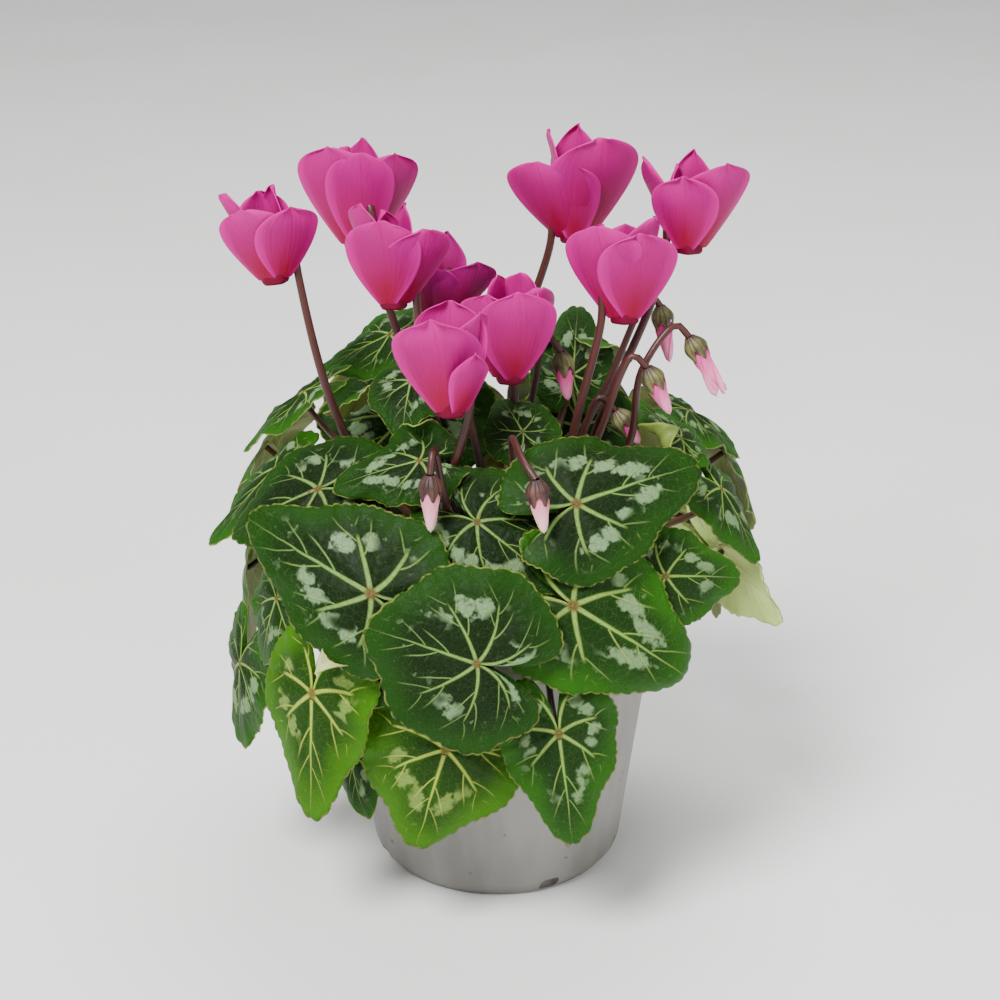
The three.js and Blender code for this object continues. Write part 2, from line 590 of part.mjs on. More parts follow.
function buildBudStem(bud, stand) {
  const frame = budFrame(bud);
  const cup = calyx(CALYX.budFlare).scale([CALYX.budScale, CALYX.budScale, 1]).rotate([180, 0, 0])
    .translate([0, 0, -CLEAR]).transform(frame.elements);
  const neck = new THREE.Vector3(0, 0, -CALYX.height).applyMatrix4(frame);
  const lift = stand.clone().addScaledVector(UP, STEM.rise);
  const way = [stand, lift, ...bud.via.map(vector), vector(bud.hook), neck];
  return rod(way, BUD.stem, BUD.sides, BUD.steps).add(cup);
}

// ---- the whole plant

place("pot", buildPot(), FINISH.pot);
place("soil", buildSoil(), FINISH.soil);
place("tuber", buildTuber(), FINISH.tuber);
buildLeaves();

const stalks = [...FLOWERS, ...BUDS];
const served = (row) => row.via[0];
const stalkStands = new Map([
  ...spreadStands(stalks.filter((row) => !row.inner), STAND.bloom, served),
  ...spreadStands(stalks.filter((row) => row.inner), STAND.inner, served),
]);
for (const flower of FLOWERS) {
  place(`${flower.name}_stem`, buildFlowerStem(flower, stalkStands.get(flower.name)), FINISH.stem);
  place(`${flower.name}_petals`, buildCorolla(flower), FINISH.petal);
}
for (const bud of BUDS) {
  place(`${bud.name}_stem`, buildBudStem(bud, stalkStands.get(bud.name)), FINISH.stem);
  place(`${bud.name}_petals`, buildBud(bud), FINISH.bud);
}

export default plant;
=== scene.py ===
"""Potted cyclamen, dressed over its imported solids. Lengths in the tables are millimetres, angles degrees."""

import math
import random
from types import SimpleNamespace

import bpy
from mathutils import Matrix, Vector, noise


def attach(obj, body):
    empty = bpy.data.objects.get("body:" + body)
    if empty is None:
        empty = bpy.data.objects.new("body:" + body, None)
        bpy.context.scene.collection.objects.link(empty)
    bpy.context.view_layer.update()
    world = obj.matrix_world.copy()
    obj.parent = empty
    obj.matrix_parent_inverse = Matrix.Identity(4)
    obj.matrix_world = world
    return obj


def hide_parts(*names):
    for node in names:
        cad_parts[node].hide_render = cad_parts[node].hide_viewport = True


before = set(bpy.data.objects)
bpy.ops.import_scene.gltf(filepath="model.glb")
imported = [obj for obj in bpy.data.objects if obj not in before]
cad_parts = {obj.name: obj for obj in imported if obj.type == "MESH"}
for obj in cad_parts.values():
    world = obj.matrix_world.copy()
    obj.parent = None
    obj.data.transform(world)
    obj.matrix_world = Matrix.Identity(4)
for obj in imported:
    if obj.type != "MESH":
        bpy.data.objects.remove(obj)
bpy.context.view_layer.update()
bpy.ops.object.select_all(action="DESELECT")

MM = 0.001
UP = Vector((0, 0, 1))
TAU = 2 * math.pi

# ---- measures shared with the solids

CLEAR = 0.3
POT = SimpleNamespace(
    height=100, foot=38, heel=43, heel_height=6, collar=54, collar_height=88, lip=57.8, wall=1.3)
DRAINS = SimpleNamespace(count=4, depth=9, width=7, height=5, sill=1.2, first=-65)
SOIL_TOP = 88
SOIL_HOLLOW = 26
CROWN_HEIGHT = 94
NOSE_HEIGHT = 8
CALYX_HEIGHT = 3.4

# the dome that the leaves lie on, from its middle
ENVELOPE = SimpleNamespace(half=(90, 80, 86), middle=Vector((0, 0, 80)), square=2.7)

# a blade's outline: how fast its tip tapers, its lobes drawn in, and its notch's depth and half angle
HEART = SimpleNamespace(taper=0.42, lobes=0.25, notch=0.92, sinus=0.23)
VEINS = 7

# rings on the tuber's crown: radius, and the least angle between two stalks
STANDS = SimpleNamespace(low=(21, 11), high=(16, 14), bloom=(10.5, 25), inner=(4.6, 60))

# name, the leaf whose node it shares, petiole spot, (azimuth, elevation) that it faces, turn, length, width,
# round share, drape over the dome, and whether its petiole stands low on the crown
LEAVES = [
    ("front", None, (-6, -90, 113), (-94, 16), -106, 34, 1, 0.88, 0.6, False),
    ("big_right", None, (24, -66, 155), (-78, 44), 106, 45, 0.9, 0.62, 0.6, False),
    ("centre", None, (-6, -64, 148), (-90, 42), 52, 32, 0.85, 0.78, 0.6, False),
    ("big_left", None, (-38, -77, 130), (-106, 26), -112, 52, 0.82, 0.62, 0.6, False),
    ("right_low", None, (23, -78.3, 126.7), (-80, 20), 55.7, 50, 0.86, 0.62, 0.6, False),
    ("front_right", None, (19, -82, 85), (-84, 8), 8, 42, 0.8, 0.58, 0.6, True),
    ("front_left", None, (-16, -74, 75), (-96, 8), -16, 40, 0.96, 0.72, 0.6, True),
    ("left_low", None, (-57.4, -71.2, 93.2), (-117.8, 10.2), -3.6, 46, 0.74, 0.6, 0.6, True),
    ("left_tip", "left_low", (-47, -60, 67), (-112, 4), 4, 27, 0.62, 0.7, 0.6, True),
    ("far_left", None, (-84, -34, 85), (-138, 10), -11.7, 34, 0.8, 0.7, 0.6, True),
    ("between", None, (-29.4, -74.1, 108.8), (-100, 14), -44, 24, 1.1, 0.7, 0.6, False),
    ("dark_low", "between", (-29.8, -65.7, 89.8), (-100, 6), -4, 30, 0.62, 0.7, 0.6, True),
    ("upper_left", None, (-55.9, -43.4, 150.4), (-113.1, 54.5), -64.3, 38, 0.9, 0.74, 0.6, False),
    ("mid_left", None, (-23.9, -49.9, 162.5), (-108.5, 53.5), -66, 27, 0.78, 0.7, 0.6, False),
    ("top_left", None, (-27.4, -19, 177.2), (-107.8, 60.5), 6, 19, 1.1, 0.7, 0, False),
    ("back_left_top", None, (-36, 26, 178), (-140, 58), -40, 26, 0.9, 0.7, 0, False),
    ("olive", "back_left_top", (-38, 0, 170), (130, 50), 60, 20, 0.9, 0.7, 0, False),
    ("far_left_high", None, (-64, 8, 164), (-178, 52), -10, 30, 0.7, 0.7, 0, False),
    ("left_drop", None, (-72, -18, 147), (-160, 50), -6, 32, 0.8, 0.7, 0.2, False),
    ("left_sliver", "left_drop", (-69.3, -51.5, 116.6), (-135.4, 15.6), -17.9, 25, 0.9, 0.7, 0.6, False),
    ("right_mid", None, (52, -62, 129), (-62, 26), 80, 32, 0.8, 0.66, 0.6, False),
    ("right_side", None, (72, -24.4, 142.8), (-33.6, 38.8), 7.6, 26, 0.95, 0.7, 0.6, False),
    ("right_top", "right_side", (58.5, -22.8, 159.6), (-40, 54), 171.2, 20, 1, 0.7, 0.6, False),
    ("right_sliver", None, (64, 12, 156), (-5, 58), 10, 24, 0.9, 0.7, 0.2, False),
    ("back_right", "right_sliver", (78, 32, 136), (18, 30), 0, 34, 0.95, 0.7, 0.6, False),
    ("far_right", None, (73.5, -8, 115.5), (42, 6), -58, 33, 0.8, 0.7, 0, False),
    ("right_low_side", "far_right", (76, 16, 106), (12, 12), 4, 28, 0.95, 0.7, 0.6, True),
    ("top_back", None, (26, 34, 161), (-90, 30), 176, 24, 0.9, 0.7, 0, False),
    ("back_top_right", "top_back", (28, 50, 169), (66, 56), 4, 30, 0.95, 0.7, 0.6, False),
    ("centre_small", None, (8, -34, 166), (-100, 60), -150, 18, 1, 0.7, 0, False),
    # inner_left and inner_right sit in the plant's shaded middle and close gaps there; their dark finish is
    # painted shade
    ("inner_left", "back_3", (-31, 47, 140.4), (-86, 24), 6.9, 35, 1.3, 0.7, 0, False),
    ("inner_right", "back_1", (27.9, 41.3, 138.7), (-94, 20), 0.7, 34, 0.9, 0.7, 0, False),
    ("back_1", None, (48, 68, 138), (62, 32), 10, 44, 0.85, 0.7, 0.6, False),
    ("back_low_1", "back_1", (72, 56, 98), (40, 8), -4, 38, 0.85, 0.7, 0.6, True),
    ("back_2", None, (4, 72, 136), (90, 28), -10, 42, 0.85, 0.7, 0.6, False),
    ("back_low_2", "back_2", (27, 75, 96), (82, 6), 6, 38, 0.85, 0.7, 0.6, True),
    ("back_low_3", "back_2", (-14, 78, 94), (94, 6), 8, 38, 0.85, 0.7, 0.6, True),
    ("back_3", None, (-40, 72, 144), (108, 36), 14, 42, 0.9, 0.7, 0.6, False),
    ("back_low_4", "back_3", (-59, 66, 98), (122, 6), -6, 38, 0.85, 0.7, 0.6, True),
    ("back_left", "far_left_high", (-79.6, 38.6, 134.6), (156, 32), -8, 34, 0.9, 0.7, 0.6, False),
    ("left_low_side", "far_left", (-86, 14, 100), (172, 8), 4, 36, 0.9, 0.7, 0.6, True),
]

# name, mouth, lean, side of the stem, petal length, the stem's way up
FLOWERS = [
    ("flower_1", (-70, -10, 208), (150, 8), 15, 30, [(-36, -10, 130), (-53, -12, 167)]),
    ("flower_2", (-46, 28, 208), (90, 8), -50, 36, [(-17.7, 7.8, 130), (-29.2, 10.3, 172)]),
    ("flower_3", (-33, -8, 199), (90, 6), 10, 33, [(-12, -5, 130), (-22, -6, 168)]),
    ("flower_4", (-19, 22, 185), (60, 10), 60, 29, [(-5, 14, 130), (-11.3, 23.8, 160)]),
    ("flower_5", (-14, -55, 180), (100, 6), 40, 34, [(-6.9, -28, 116), (-16.3, -43.4, 141)]),
    ("flower_6", (4, -22, 179), (80, 4), 80, 34, [(8.2, -8, 125), (6.3, -17.2, 158)]),
    ("flower_7", (25, 15, 214), (90, 6), 185, 36, [(7.5, 16.6, 130), (5.7, 15.4, 170)]),
    ("flower_8", (40, -20, 198), (90, 8), 190, 33, [(20.2, -19.5, 130), (24, -25.1, 161)]),
    ("flower_9", (61, 0, 215), (80, 4), 190, 32, [(24, -4, 130), (34.1, -8.3, 162), (49.9, -3.6, 200)]),
]

# name, calyx, tip, top of the hook, the stem's way up, and whether it stands on the inner ring
BUDS = [
    ("bud_1", (54, 12, 189), (57, 11, 173), (50, 12, 196),
     [(17.2, 3.6, 130), (36, 6, 167)], False),
    ("bud_2", (62, -22, 190), (70, -24, 177), (56, -22, 197),
     [(26, -12, 130), (42, -22, 157), (45.4, -26.7, 184)], False),
    ("bud_3", (48, -34, 184), (54, -35, 172), (42, -34, 191),
     [(21.8, -18, 130), (32.7, -29.7, 165)], False),
    ("bud_4", (21, -8, 180), (23, -9, 167), (16, -7, 189),
     [(7, -3, 130), (12, -5, 170)], True),
    ("bud_5", (-20, -69, 162), (-20, -70, 147), (-19, -65, 172),
     [(-2.5, -24.6, 120), (-14.8, -58.6, 150)], False),
    ("bud_6", (12, -78, 164), (14, -80, 151), (8, -73, 171),
     [(-0.1, -29.7, 120), (4.9, -45.1, 160), (4.5, -50.8, 170)], False),
    ("bud_7", (40, -15, 163), (46, -16, 155), (33, -14, 170),
     [(20, -9, 130), (28, -13, 158)], True),
]


# ---- directions, shares and ways

def pointing(azimuth, elevation):
    azimuth, elevation = math.radians(azimuth), math.radians(elevation)
    level = math.cos(elevation)
    return Vector((math.cos(azimuth) * level, math.sin(azimuth) * level, math.sin(elevation)))


def smooth(low, high, value):
    """Runs smoothly from 0 at low to 1 at high."""
    share = min(1, max(0, (value - low) / (high - low)))
    return share * share * (3 - 2 * share)


def between(values, share, ease=float):
    """The value at a share of the way through a list, eased from one entry to the next."""
    place = share * (len(values) - 1)
    below = min(int(place), len(values) - 2)
    return values[below] + (values[below + 1] - values[below]) * ease(place - below)


def way_through(points, steps):
    """Even points on a smooth way through the given ones."""
    fine = 24
    points = [Vector(point) for point in points]
    ends = [2 * points[0] - points[1], *points, 2 * points[-1] - points[-2]]
    way = []
    for before, start, end, after in zip(ends, ends[1:], ends[2:], ends[3:]):
        first, gap, last = (
            max(1e-4, (b - a).length) ** 0.5 for a, b in ((before, start), (start, end), (end, after)))
        straight = (end - start) / gap
        leave = ((start - before) / first - (end - before) / (first + gap) + straight) * gap
        reach = (straight - (after - start) / (gap + last) + (after - end) / last) * gap
        for step in range(fine):
            t = step / fine
            way.append(start * (2 * t**3 - 3 * t**2 + 1) + leave * (t**3 - 2 * t**2 + t)
                       + end * (3 * t**2 - 2 * t**3) + reach * (t**3 - t**2))
    way.append(points[-1])
    lengths = [0]
    for a, b in zip(way, way[1:]):
        lengths.append(lengths[-1] + (b - a).length)
    even = []
    at = 0
    for step in range(steps + 1):
        wanted = lengths[-1] * step / steps
        while at < len(way) - 2 and lengths[at + 1] < wanted:
            at += 1
        share = (wanted - lengths[at]) / max(1e-9, lengths[at + 1] - lengths[at])
        even.append(way[at].lerp(way[at + 1], share))
    return even


def spread_stands(targets, ring):
    """Places on a ring of the tuber's crown, each towards its target and pushed clear of its neighbours."""
    radius, apart = ring
    places = sorted(([name, math.degrees(math.atan2(y, x))] for name, (x, y) in targets), key=lambda p: p[1])
    for _ in range(200):
        for order, place in enumerate(places):
            following = places[(order + 1) % len(places)]
            gap = following[1] - place[1] + (360 if order == len(places) - 1 else 0)
            push = max(0, apart - gap) / 2
            place[1] -= push
            following[1] += push
    return {name: pointing(azimuth, 0) * radius + UP * (CROWN_HEIGHT + CLEAR) for name, azimuth in places}


# ---- pieces

def keep(piece, name, node):
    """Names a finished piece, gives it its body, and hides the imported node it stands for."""
    piece.name = name
    piece.data.name = name
    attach(piece, "root")
    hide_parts(node)


def select_only(*pieces):
    bpy.ops.object.select_all(action="DESELECT")
    for piece in pieces:
        piece.select_set(True)
    bpy.context.view_layer.objects.active = pieces[0]


def merged(pieces):
    select_only(*pieces)
    if len(pieces) > 1:
        bpy.ops.object.join()
    return pieces[0]


def finished(piece, modifiers):
    """Applies each modifier, given as its kind and settings."""
    select_only(piece)
    for kind, settings in modifiers:
        modifier = piece.modifiers.new(kind.title(), kind)
        for setting, value in settings.items():
            setattr(modifier, setting, value)
        bpy.ops.object.modifier_apply(modifier=modifier.name)
    return piece


def bent_grid(columns, rows, place, maps, weld=True):
    """A grid whose points go where place(u, v) says, with a UV map for each entry of maps."""
    bpy.ops.object.select_all(action="DESELECT")
    bpy.ops.mesh.primitive_grid_add(x_subdivisions=columns, y_subdivisions=rows, size=1)
    piece = bpy.context.object
    mesh = piece.data
    spots = [(vertex.co.x + 0.5, vertex.co.y + 0.5) for vertex in mesh.vertices]
    while mesh.uv_layers:
        mesh.uv_layers.remove(mesh.uv_layers[0])
    for name, spread in maps.items():
        layer = mesh.uv_layers.new(name=name)
        values = [spread(u, v) for u, v in spots]
        for loop in mesh.loops:
            layer.data[loop.index].uv = values[loop.vertex_index]
    for vertex, (u, v) in zip(mesh.vertices, spots):
        vertex.co = place(u, v) * MM
    if weld:
        bpy.ops.object.mode_set(mode="EDIT")
        bpy.ops.mesh.select_all(action="SELECT")
        bpy.ops.mesh.remove_doubles(threshold=0.02 * MM)
        bpy.ops.object.mode_set(mode="OBJECT")
    bpy.ops.object.shade_smooth()
    return piece


def outward(piece):
    """Turns a closed piece's faces outwards."""
    select_only(piece)
    bpy.ops.object.mode_set(mode="EDIT")
    bpy.ops.mesh.select_all(action="SELECT")
    bpy.ops.mesh.normals_make_consistent(inside=False)
    bpy.ops.object.mode_set(mode="OBJECT")
    return piece


def stalk(points, radii, material, steps=36, sides=3):
    """A round stalk along way points, its thickness running through the given radii."""
    curve = bpy.data.curves.new("stalk", "CURVE")
    curve.dimensions = "3D"
    curve.bevel_depth = MM
    curve.bevel_resolution = sides
    curve.use_fill_caps = True
    line = curve.splines.new("POLY")
    spots = way_through(points, steps)
    line.points.add(len(spots) - 1)
    for order, spot in enumerate(spots):
        line.points[order].co = (*(spot * MM), 1)
        line.points[order].radius = between(radii, order / (len(spots) - 1))
    piece = bpy.data.objects.new("stalk", curve)
    bpy.context.collection.objects.link(piece)
    select_only(piece)
    bpy.ops.object.convert(target="MESH")
    piece = bpy.context.object
    piece.data.materials.append(material)
    bpy.ops.object.shade_smooth()
    return piece


def turned(profile, facets, material):
    """A closed round body drawn up ring by ring from its foot."""
    bpy.ops.object.select_all(action="DESELECT")
    radius, height = profile[0]
    bpy.ops.mesh.primitive_circle_add(
        vertices=facets, radius=radius * MM, location=(0, 0, height * MM), fill_type="NGON")
    piece = bpy.context.object
    bpy.ops.object.transform_apply(location=True)
    bpy.ops.object.mode_set(mode="EDIT")
    bpy.ops.mesh.select_all(action="SELECT")
    bpy.ops.mesh.delete(type="ONLY_FACE")
    bpy.ops.mesh.select_all(action="SELECT")
    bpy.ops.mesh.edge_face_add()
    for next_radius, next_height in profile[1:]:
        bpy.ops.mesh.extrude_region_move(
            TRANSFORM_OT_translate={"value": (0, 0, (next_height - height) * MM)})
        share = next_radius / radius
        bpy.ops.transform.resize(value=(share, share, 1), center_override=(0, 0, next_height * MM))
        radius, height = next_radius, next_height
    bpy.ops.object.mode_set(mode="OBJECT")
    piece.data.materials.append(material)
    return outward(piece)


# ---- materials

def tone(code):
    """A colour written as six hexadecimal digits, in linear light."""
    parts = [int(code[at:at + 2], 16) / 255 for at in (0, 2, 4)]
    return tuple(part / 12.92 if part < 0.04 else ((part + 0.055) / 1.055) ** 2.4 for part in parts)


class Value:
    """A shader value; arithmetic on it adds Math nodes."""

    def __init__(self, bench, socket):
        self.bench = bench
        self.socket = socket

    def __add__(self, other):
        return self.bench.reckon("ADD", self, other)

    def __sub__(self, other):
        return self.bench.reckon("SUBTRACT", self, other)

    def __rsub__(self, other):
        return self.bench.reckon("SUBTRACT", other, self)

    def __mul__(self, other):
        return self.bench.reckon("MULTIPLY", self, other)

    def __pow__(self, power):
        return self.bench.reckon("POWER", self, power)

    def __abs__(self):
        return self.bench.reckon("ABSOLUTE", self)

    def over(self, other):
        """The larger of two values."""
        return self.bench.reckon("MAXIMUM", self, other)

    def step(self, low, high):
        """Runs smoothly from 0 at low to 1 at high."""
        ramp = {"interpolation_type": "SMOOTHSTEP"}
        return self.bench.make("MapRange", ramp, {"Value": self, "From Min": low, "From Max": high})

    __radd__ = __add__
    __rmul__ = __mul__


class Bench:
    """A material and the one method that adds any node to it."""

    def __init__(self, name):
        self.material = bpy.data.materials.new(name)
        self.material.use_nodes = True
        self.nodes = self.material.node_tree.nodes
        self.links = self.material.node_tree.links
        self.nodes.clear()

    def make(self, kind, settings=None, sockets=None, output=0):
        """Adds a node of a kind: its settings first, then a value or a link for each socket named."""
        node = self.nodes.new("ShaderNode" + kind)
        for setting, value in (settings or {}).items():
            setattr(node, setting, value)
        for key, value in (sockets or {}).items():
            socket = node.inputs[key]
            if isinstance(value, Value):
                self.links.new(value.socket, socket)
            elif socket.type == "RGBA":
                socket.default_value = (*value, 1)
            else:
                socket.default_value = value
        return Value(self, node.outputs[output]) if len(node.outputs) else None

    def reckon(self, operation, *terms):
        return self.make("Math", {"operation": operation}, dict(enumerate(terms)))

    def blend(self, share, under, over):
        return self.make("Mix", {"data_type": "RGBA"}, {0: share, 6: under, 7: over}, 2)

    def place(self):
        return self.make("TexCoord", None, None, "Object")

    def part(self, vector, axis):
        return self.make("SeparateXYZ", None, {0: vector}, axis)

    def chart(self, name):
        """A UV map: the map itself and its two numbers."""
        at = self.make("UVMap", {"uv_map": name})
        return at, self.part(at, 0), self.part(at, 1)

    def grain(self, scale, detail=3, at=None):
        """Cloudy noise over the piece, or over the coordinate at."""
        return self.make("TexNoise", None, {"Vector": at or self.place(), "Scale": scale, "Detail": detail})

    def cells(self, scale, at=None, feature="DISTANCE_TO_EDGE"):
        settings = {"feature": feature}
        return self.make("TexVoronoi", settings, {"Vector": at or self.place(), "Scale": scale})

    def folds(self, around, count, low, high):
        """Lines at even steps around a piece."""
        return abs(self.reckon("FRACT", around * count) - 0.5).step(low, high)

    def raised(self, height, distance, strength=1, normal=None):
        sockets = {"Height": height, "Strength": strength, "Distance": distance}
        if normal:
            sockets["Normal"] = normal
        return self.make("Bump", None, sockets)

    def finish(self, colour, roughness, normal=None, **fixed):
        """The surface itself; fixed holds sockets of the shader that keep one value."""
        names = {name.replace("_", " ").title().replace("Ior", "IOR"): value for name, value in fixed.items()}
        sockets = {"Base Color": colour, "Roughness": roughness, **names}
        if normal:
            sockets["Normal"] = normal
        surface = self.make("BsdfPrincipled", None, sockets)
        self.make("OutputMaterial", None, {"Surface": surface})
        return self.material


def veins_of(bench):
    """Curving veins that fork before the margin, the midrib running to the tip.

    Gives the map, the vein, the place across a sector (0 on its vein), the distance from the petiole over the
    blade's length, and the share of the way to the margin.
    """
    wander = 0.05
    chart, along, across = bench.chart("blade")
    ring = bench.chart("rim")[2]
    along = along + (bench.grain(70, 2) - 0.5) * wander * ring
    across = across + (bench.grain(95, 2) - 0.5) * wander * ring
    reach = (along * along + across * across) ** 0.5
    turns = bench.reckon("ARCTAN2", across, along) * (VEINS / TAU) * (reach * 0.4 + 0.88)
    hand = turns - bench.reckon("FLOOR", turns + 0.5)
    beside = abs(hand) * reach * (TAU / VEINS)
    midrib = abs(turns).step(0.52, 0.48)
    width = 0.023 - reach * 0.017
    vein = beside.step(width, width * 0.3) * midrib.over(ring.step(0.68, 0.58))
    stagger = bench.reckon("SIGN", hand) * 0.05
    fork_width = 0.011
    for start, slope in ((0.3, 0.42), (0.52, 0.5)):
        rise = (reach - (stagger + start)).over(0)
        fork = abs(beside - rise ** 0.8 * slope).step(fork_width, fork_width * 0.3) * rise.step(0, 0.02)
        vein = vein.over(fork * (rise.step(0.34, 0.2) * 0.85))
    return chart, vein * midrib.over(ring.step(0.9, 0.78)), hand, reach, ring


def leaf_top(name, deep, outer, vein_tone, silver_tone, silver_share):
    """Upper face: dark centre, brighter rim zone, silver blotches between pale veins, a beaded margin."""
    bench = Bench(name)
    chart, vein, hand, reach, ring = veins_of(bench)
    cloud = bench.grain(45, 4)
    colour = bench.blend((ring + (cloud - 0.5) * 0.6).step(0.5, 1.05), tone(deep), tone(outer))
    halo = abs(hand).step(0.2, 0.02) * ring.step(0.8, 0.1)
    colour = bench.blend(halo * 0.5, colour, tone(outer))
    fine = bench.grain(480, 4)
    from_middle = ((abs(hand) - 0.3) * 4.4) ** 2 + ((ring - 0.57) * 7.5) ** 2
    chosen = bench.grain(62, 2).step(0.57 - 0.12 * silver_share, 0.64 - 0.12 * silver_share)
    silver = (from_middle + (fine - 0.5) * 3).step(1.1, 0.3) * chosen
    fleck = bench.grain(230, 3).step(0.64, 0.7) * ring.step(0.4, 0.55) * ring.step(0.9, 0.7)
    silver = silver.over(fleck * 0.5 * silver_share)
    colour = bench.blend(silver * (0.45 + 0.3 * silver_share), colour, tone(silver_tone))
    net = bench.cells(22, chart).step(0.05, 0.0)
    colour = bench.blend(net * 0.1, colour, tone(vein_tone))
    colour = bench.blend(vein * ring.step(1.3, 0.2) * 0.85, colour, tone(vein_tone))
    bead = bench.grain(420, 2)
    colour = bench.blend(ring.step(0.978, 0.992) * bead.step(0.35, 0.6) * 0.9, colour, tone("75803A"))
    colour = bench.blend(reach.step(0.06, 0.02) * 0.8, colour, tone("5A2A1E"))
    puckered = (bench.cells(11, chart) - net * 0.5) * 0.6 + cloud * 0.3
    normal = bench.raised(puckered, 0.0014, 0.6)
    normal = bench.raised(vein, 0.0006, 0.6, normal)
    normal = bench.raised(bench.grain(900, 2), 0.0001, 0.5, normal)
    return bench.finish(colour, cloud * 0.25 + 0.42, normal, specular_ior_level=0.13, subsurface_weight=0.03,
                        subsurface_scale=0.002)


def leaf_under(name, base, vein_tone):
    """Underside: pale and matt, with the veins standing out."""
    bench = Bench(name)
    chart, vein = veins_of(bench)[:2]
    cloud = bench.grain(45, 4)
    net = bench.cells(24, chart).step(0.07, 0.0)
    colour = bench.blend(cloud.step(0.3, 0.75) * 0.5, tone(base), tone(vein_tone))
    colour = bench.blend(net * 0.2, colour, tone(vein_tone))
    colour = bench.blend(vein * 0.6, colour, tone(vein_tone))
    normal = bench.raised(vein, 0.0008, 0.7)
    normal = bench.raised(net, 0.0003, 0.4, normal)
    return bench.finish(colour, cloud * 0.15 + 0.5, normal, subsurface_weight=0.08, subsurface_scale=0.002)


def leaf_margin(name, base):
    """The blade's cut edge and its teeth: yellow-green with browner beads."""
    bench = Bench(name)
    speck = bench.grain(500, 2)
    colour = bench.blend(speck.step(0.55, 0.7) * 0.5, tone(base), tone("6E5A2E"))
    return bench.finish(colour, speck * 0.2 + 0.45, bench.raised(speck, 0.0002, 0.6))


def petal_finish(name, body, heart, light):
    """Crimson at the mouth, magenta above, lighter along the edges, with fine lengthwise veins."""
    bench = Bench(name)
    chart, across, along = bench.chart("petal")
    off = abs(across - 0.5) * 2
    stretched = bench.make("Mapping", None, {"Vector": chart, "Scale": (26, 1.6, 1)})
    streak = bench.grain(1.0, 3, stretched)
    cloud = bench.grain(70, 2)
    glow = (along + (cloud - 0.5) * 0.2).step(0.8, 0.05) * (1.1 - off * 0.6)
    colour = bench.blend(glow, tone(body), tone(heart))
    edge = (off + (streak - 0.5) * 0.5).step(0.55, 1.1)
    tip = (along + (cloud - 0.5) * 0.4).step(0.6, 1.1)
    colour = bench.blend(edge.over(tip * 0.8) * 0.75, colour, tone(light))
    colour = bench.blend(streak.step(0.55, 0.75) * 0.25, colour, tone(heart))
    normal = bench.raised(streak, 0.0005, 0.5)
    normal = bench.raised(bench.grain(1100, 2), 0.00008, 0.5, normal)
    return bench.finish(colour, cloud * 0.15 + 0.45, normal, specular_ior_level=0.15,
                        subsurface_weight=0.08, subsurface_scale=0.003,
                        subsurface_radius=(1.0, 0.15, 0.4))


def nose_finish():
    """The bloom's nose: crimson, dark purple round the mouth."""
    bench = Bench("bloom nose")
    high = bench.chart("petal")[2]
    cloud = bench.grain(180, 3)
    colour = bench.blend((high + (cloud - 0.5) * 0.2).step(0.42, 0.2), tone("640026"), tone("2C0012"))
    return bench.finish(colour, cloud * 0.15 + 0.5, bench.raised(cloud, 0.0003, 0.4), specular_ior_level=0.15)


def stem_finish(name, low, high, shade_full_below, shade_gone_above):
    """Fleshy brown-red stalk, with painted shade making it darker down in the leaves, and faint lengthwise
    lines.
    """
    bench = Bench(name)
    place = bench.place()
    height = bench.part(place, 2)
    cloud = bench.grain(160, 3)
    fine = bench.grain(900, 2)
    # painted shade: the low tone down among the leaves, running to the high tone further up
    colour = bench.blend((height + (cloud - 0.5) * 0.03).step(shade_full_below * MM, shade_gone_above * MM),
                         tone(low), tone(high))
    colour = bench.blend(fine.step(0.5, 0.8) * 0.3, colour, tone(high))
    return bench.finish(colour, cloud * 0.2 + 0.35, bench.raised(fine, 0.0002, 0.4), subsurface_weight=0.05,
                        subsurface_scale=0.002)


def calyx_finish(name, light, dark):
    """Sepals: mottled, with dark ribs and darker towards the stem's joint."""
    bench = Bench(name)
    around, along = bench.chart("sepal")[1:]
    cloud = bench.grain(260, 3)
    rib = bench.folds(around, 15, 0.36, 0.5)
    colour = bench.blend(cloud.step(0.3, 0.7), tone(light), tone(dark))
    colour = bench.blend(rib * 0.7, colour, tone("2A1C14"))
    colour = bench.blend(along.step(0.35, 0.0) * 0.8, colour, tone("3A1A16"))
    return bench.finish(colour, cloud * 0.2 + 0.45, bench.raised(rib + cloud, 0.0003, 0.6))


def bud_finish(name, base, point):
    """Furled petals: pink, paler at the point, with painted shade as a darker pink along each fold."""
    bench = Bench(name)
    around, along = bench.chart("bud")[1:]
    cloud = bench.grain(220, 3)
    colour = bench.blend((along + (cloud - 0.5) * 0.3).step(0.15, 0.95), tone(base), tone(point))
    # painted shade: a darker pink along each fold, in the crease where one petal overlaps the next
    fold = bench.folds(around, 5, 0.44, 0.5)
    colour = bench.blend(fold * 0.5, colour, tone("C2386E"))
    return bench.finish(colour, cloud * 0.15 + 0.42, bench.raised(cloud, 0.0002, 0.4), subsurface_weight=0.3,
                        subsurface_scale=0.003)


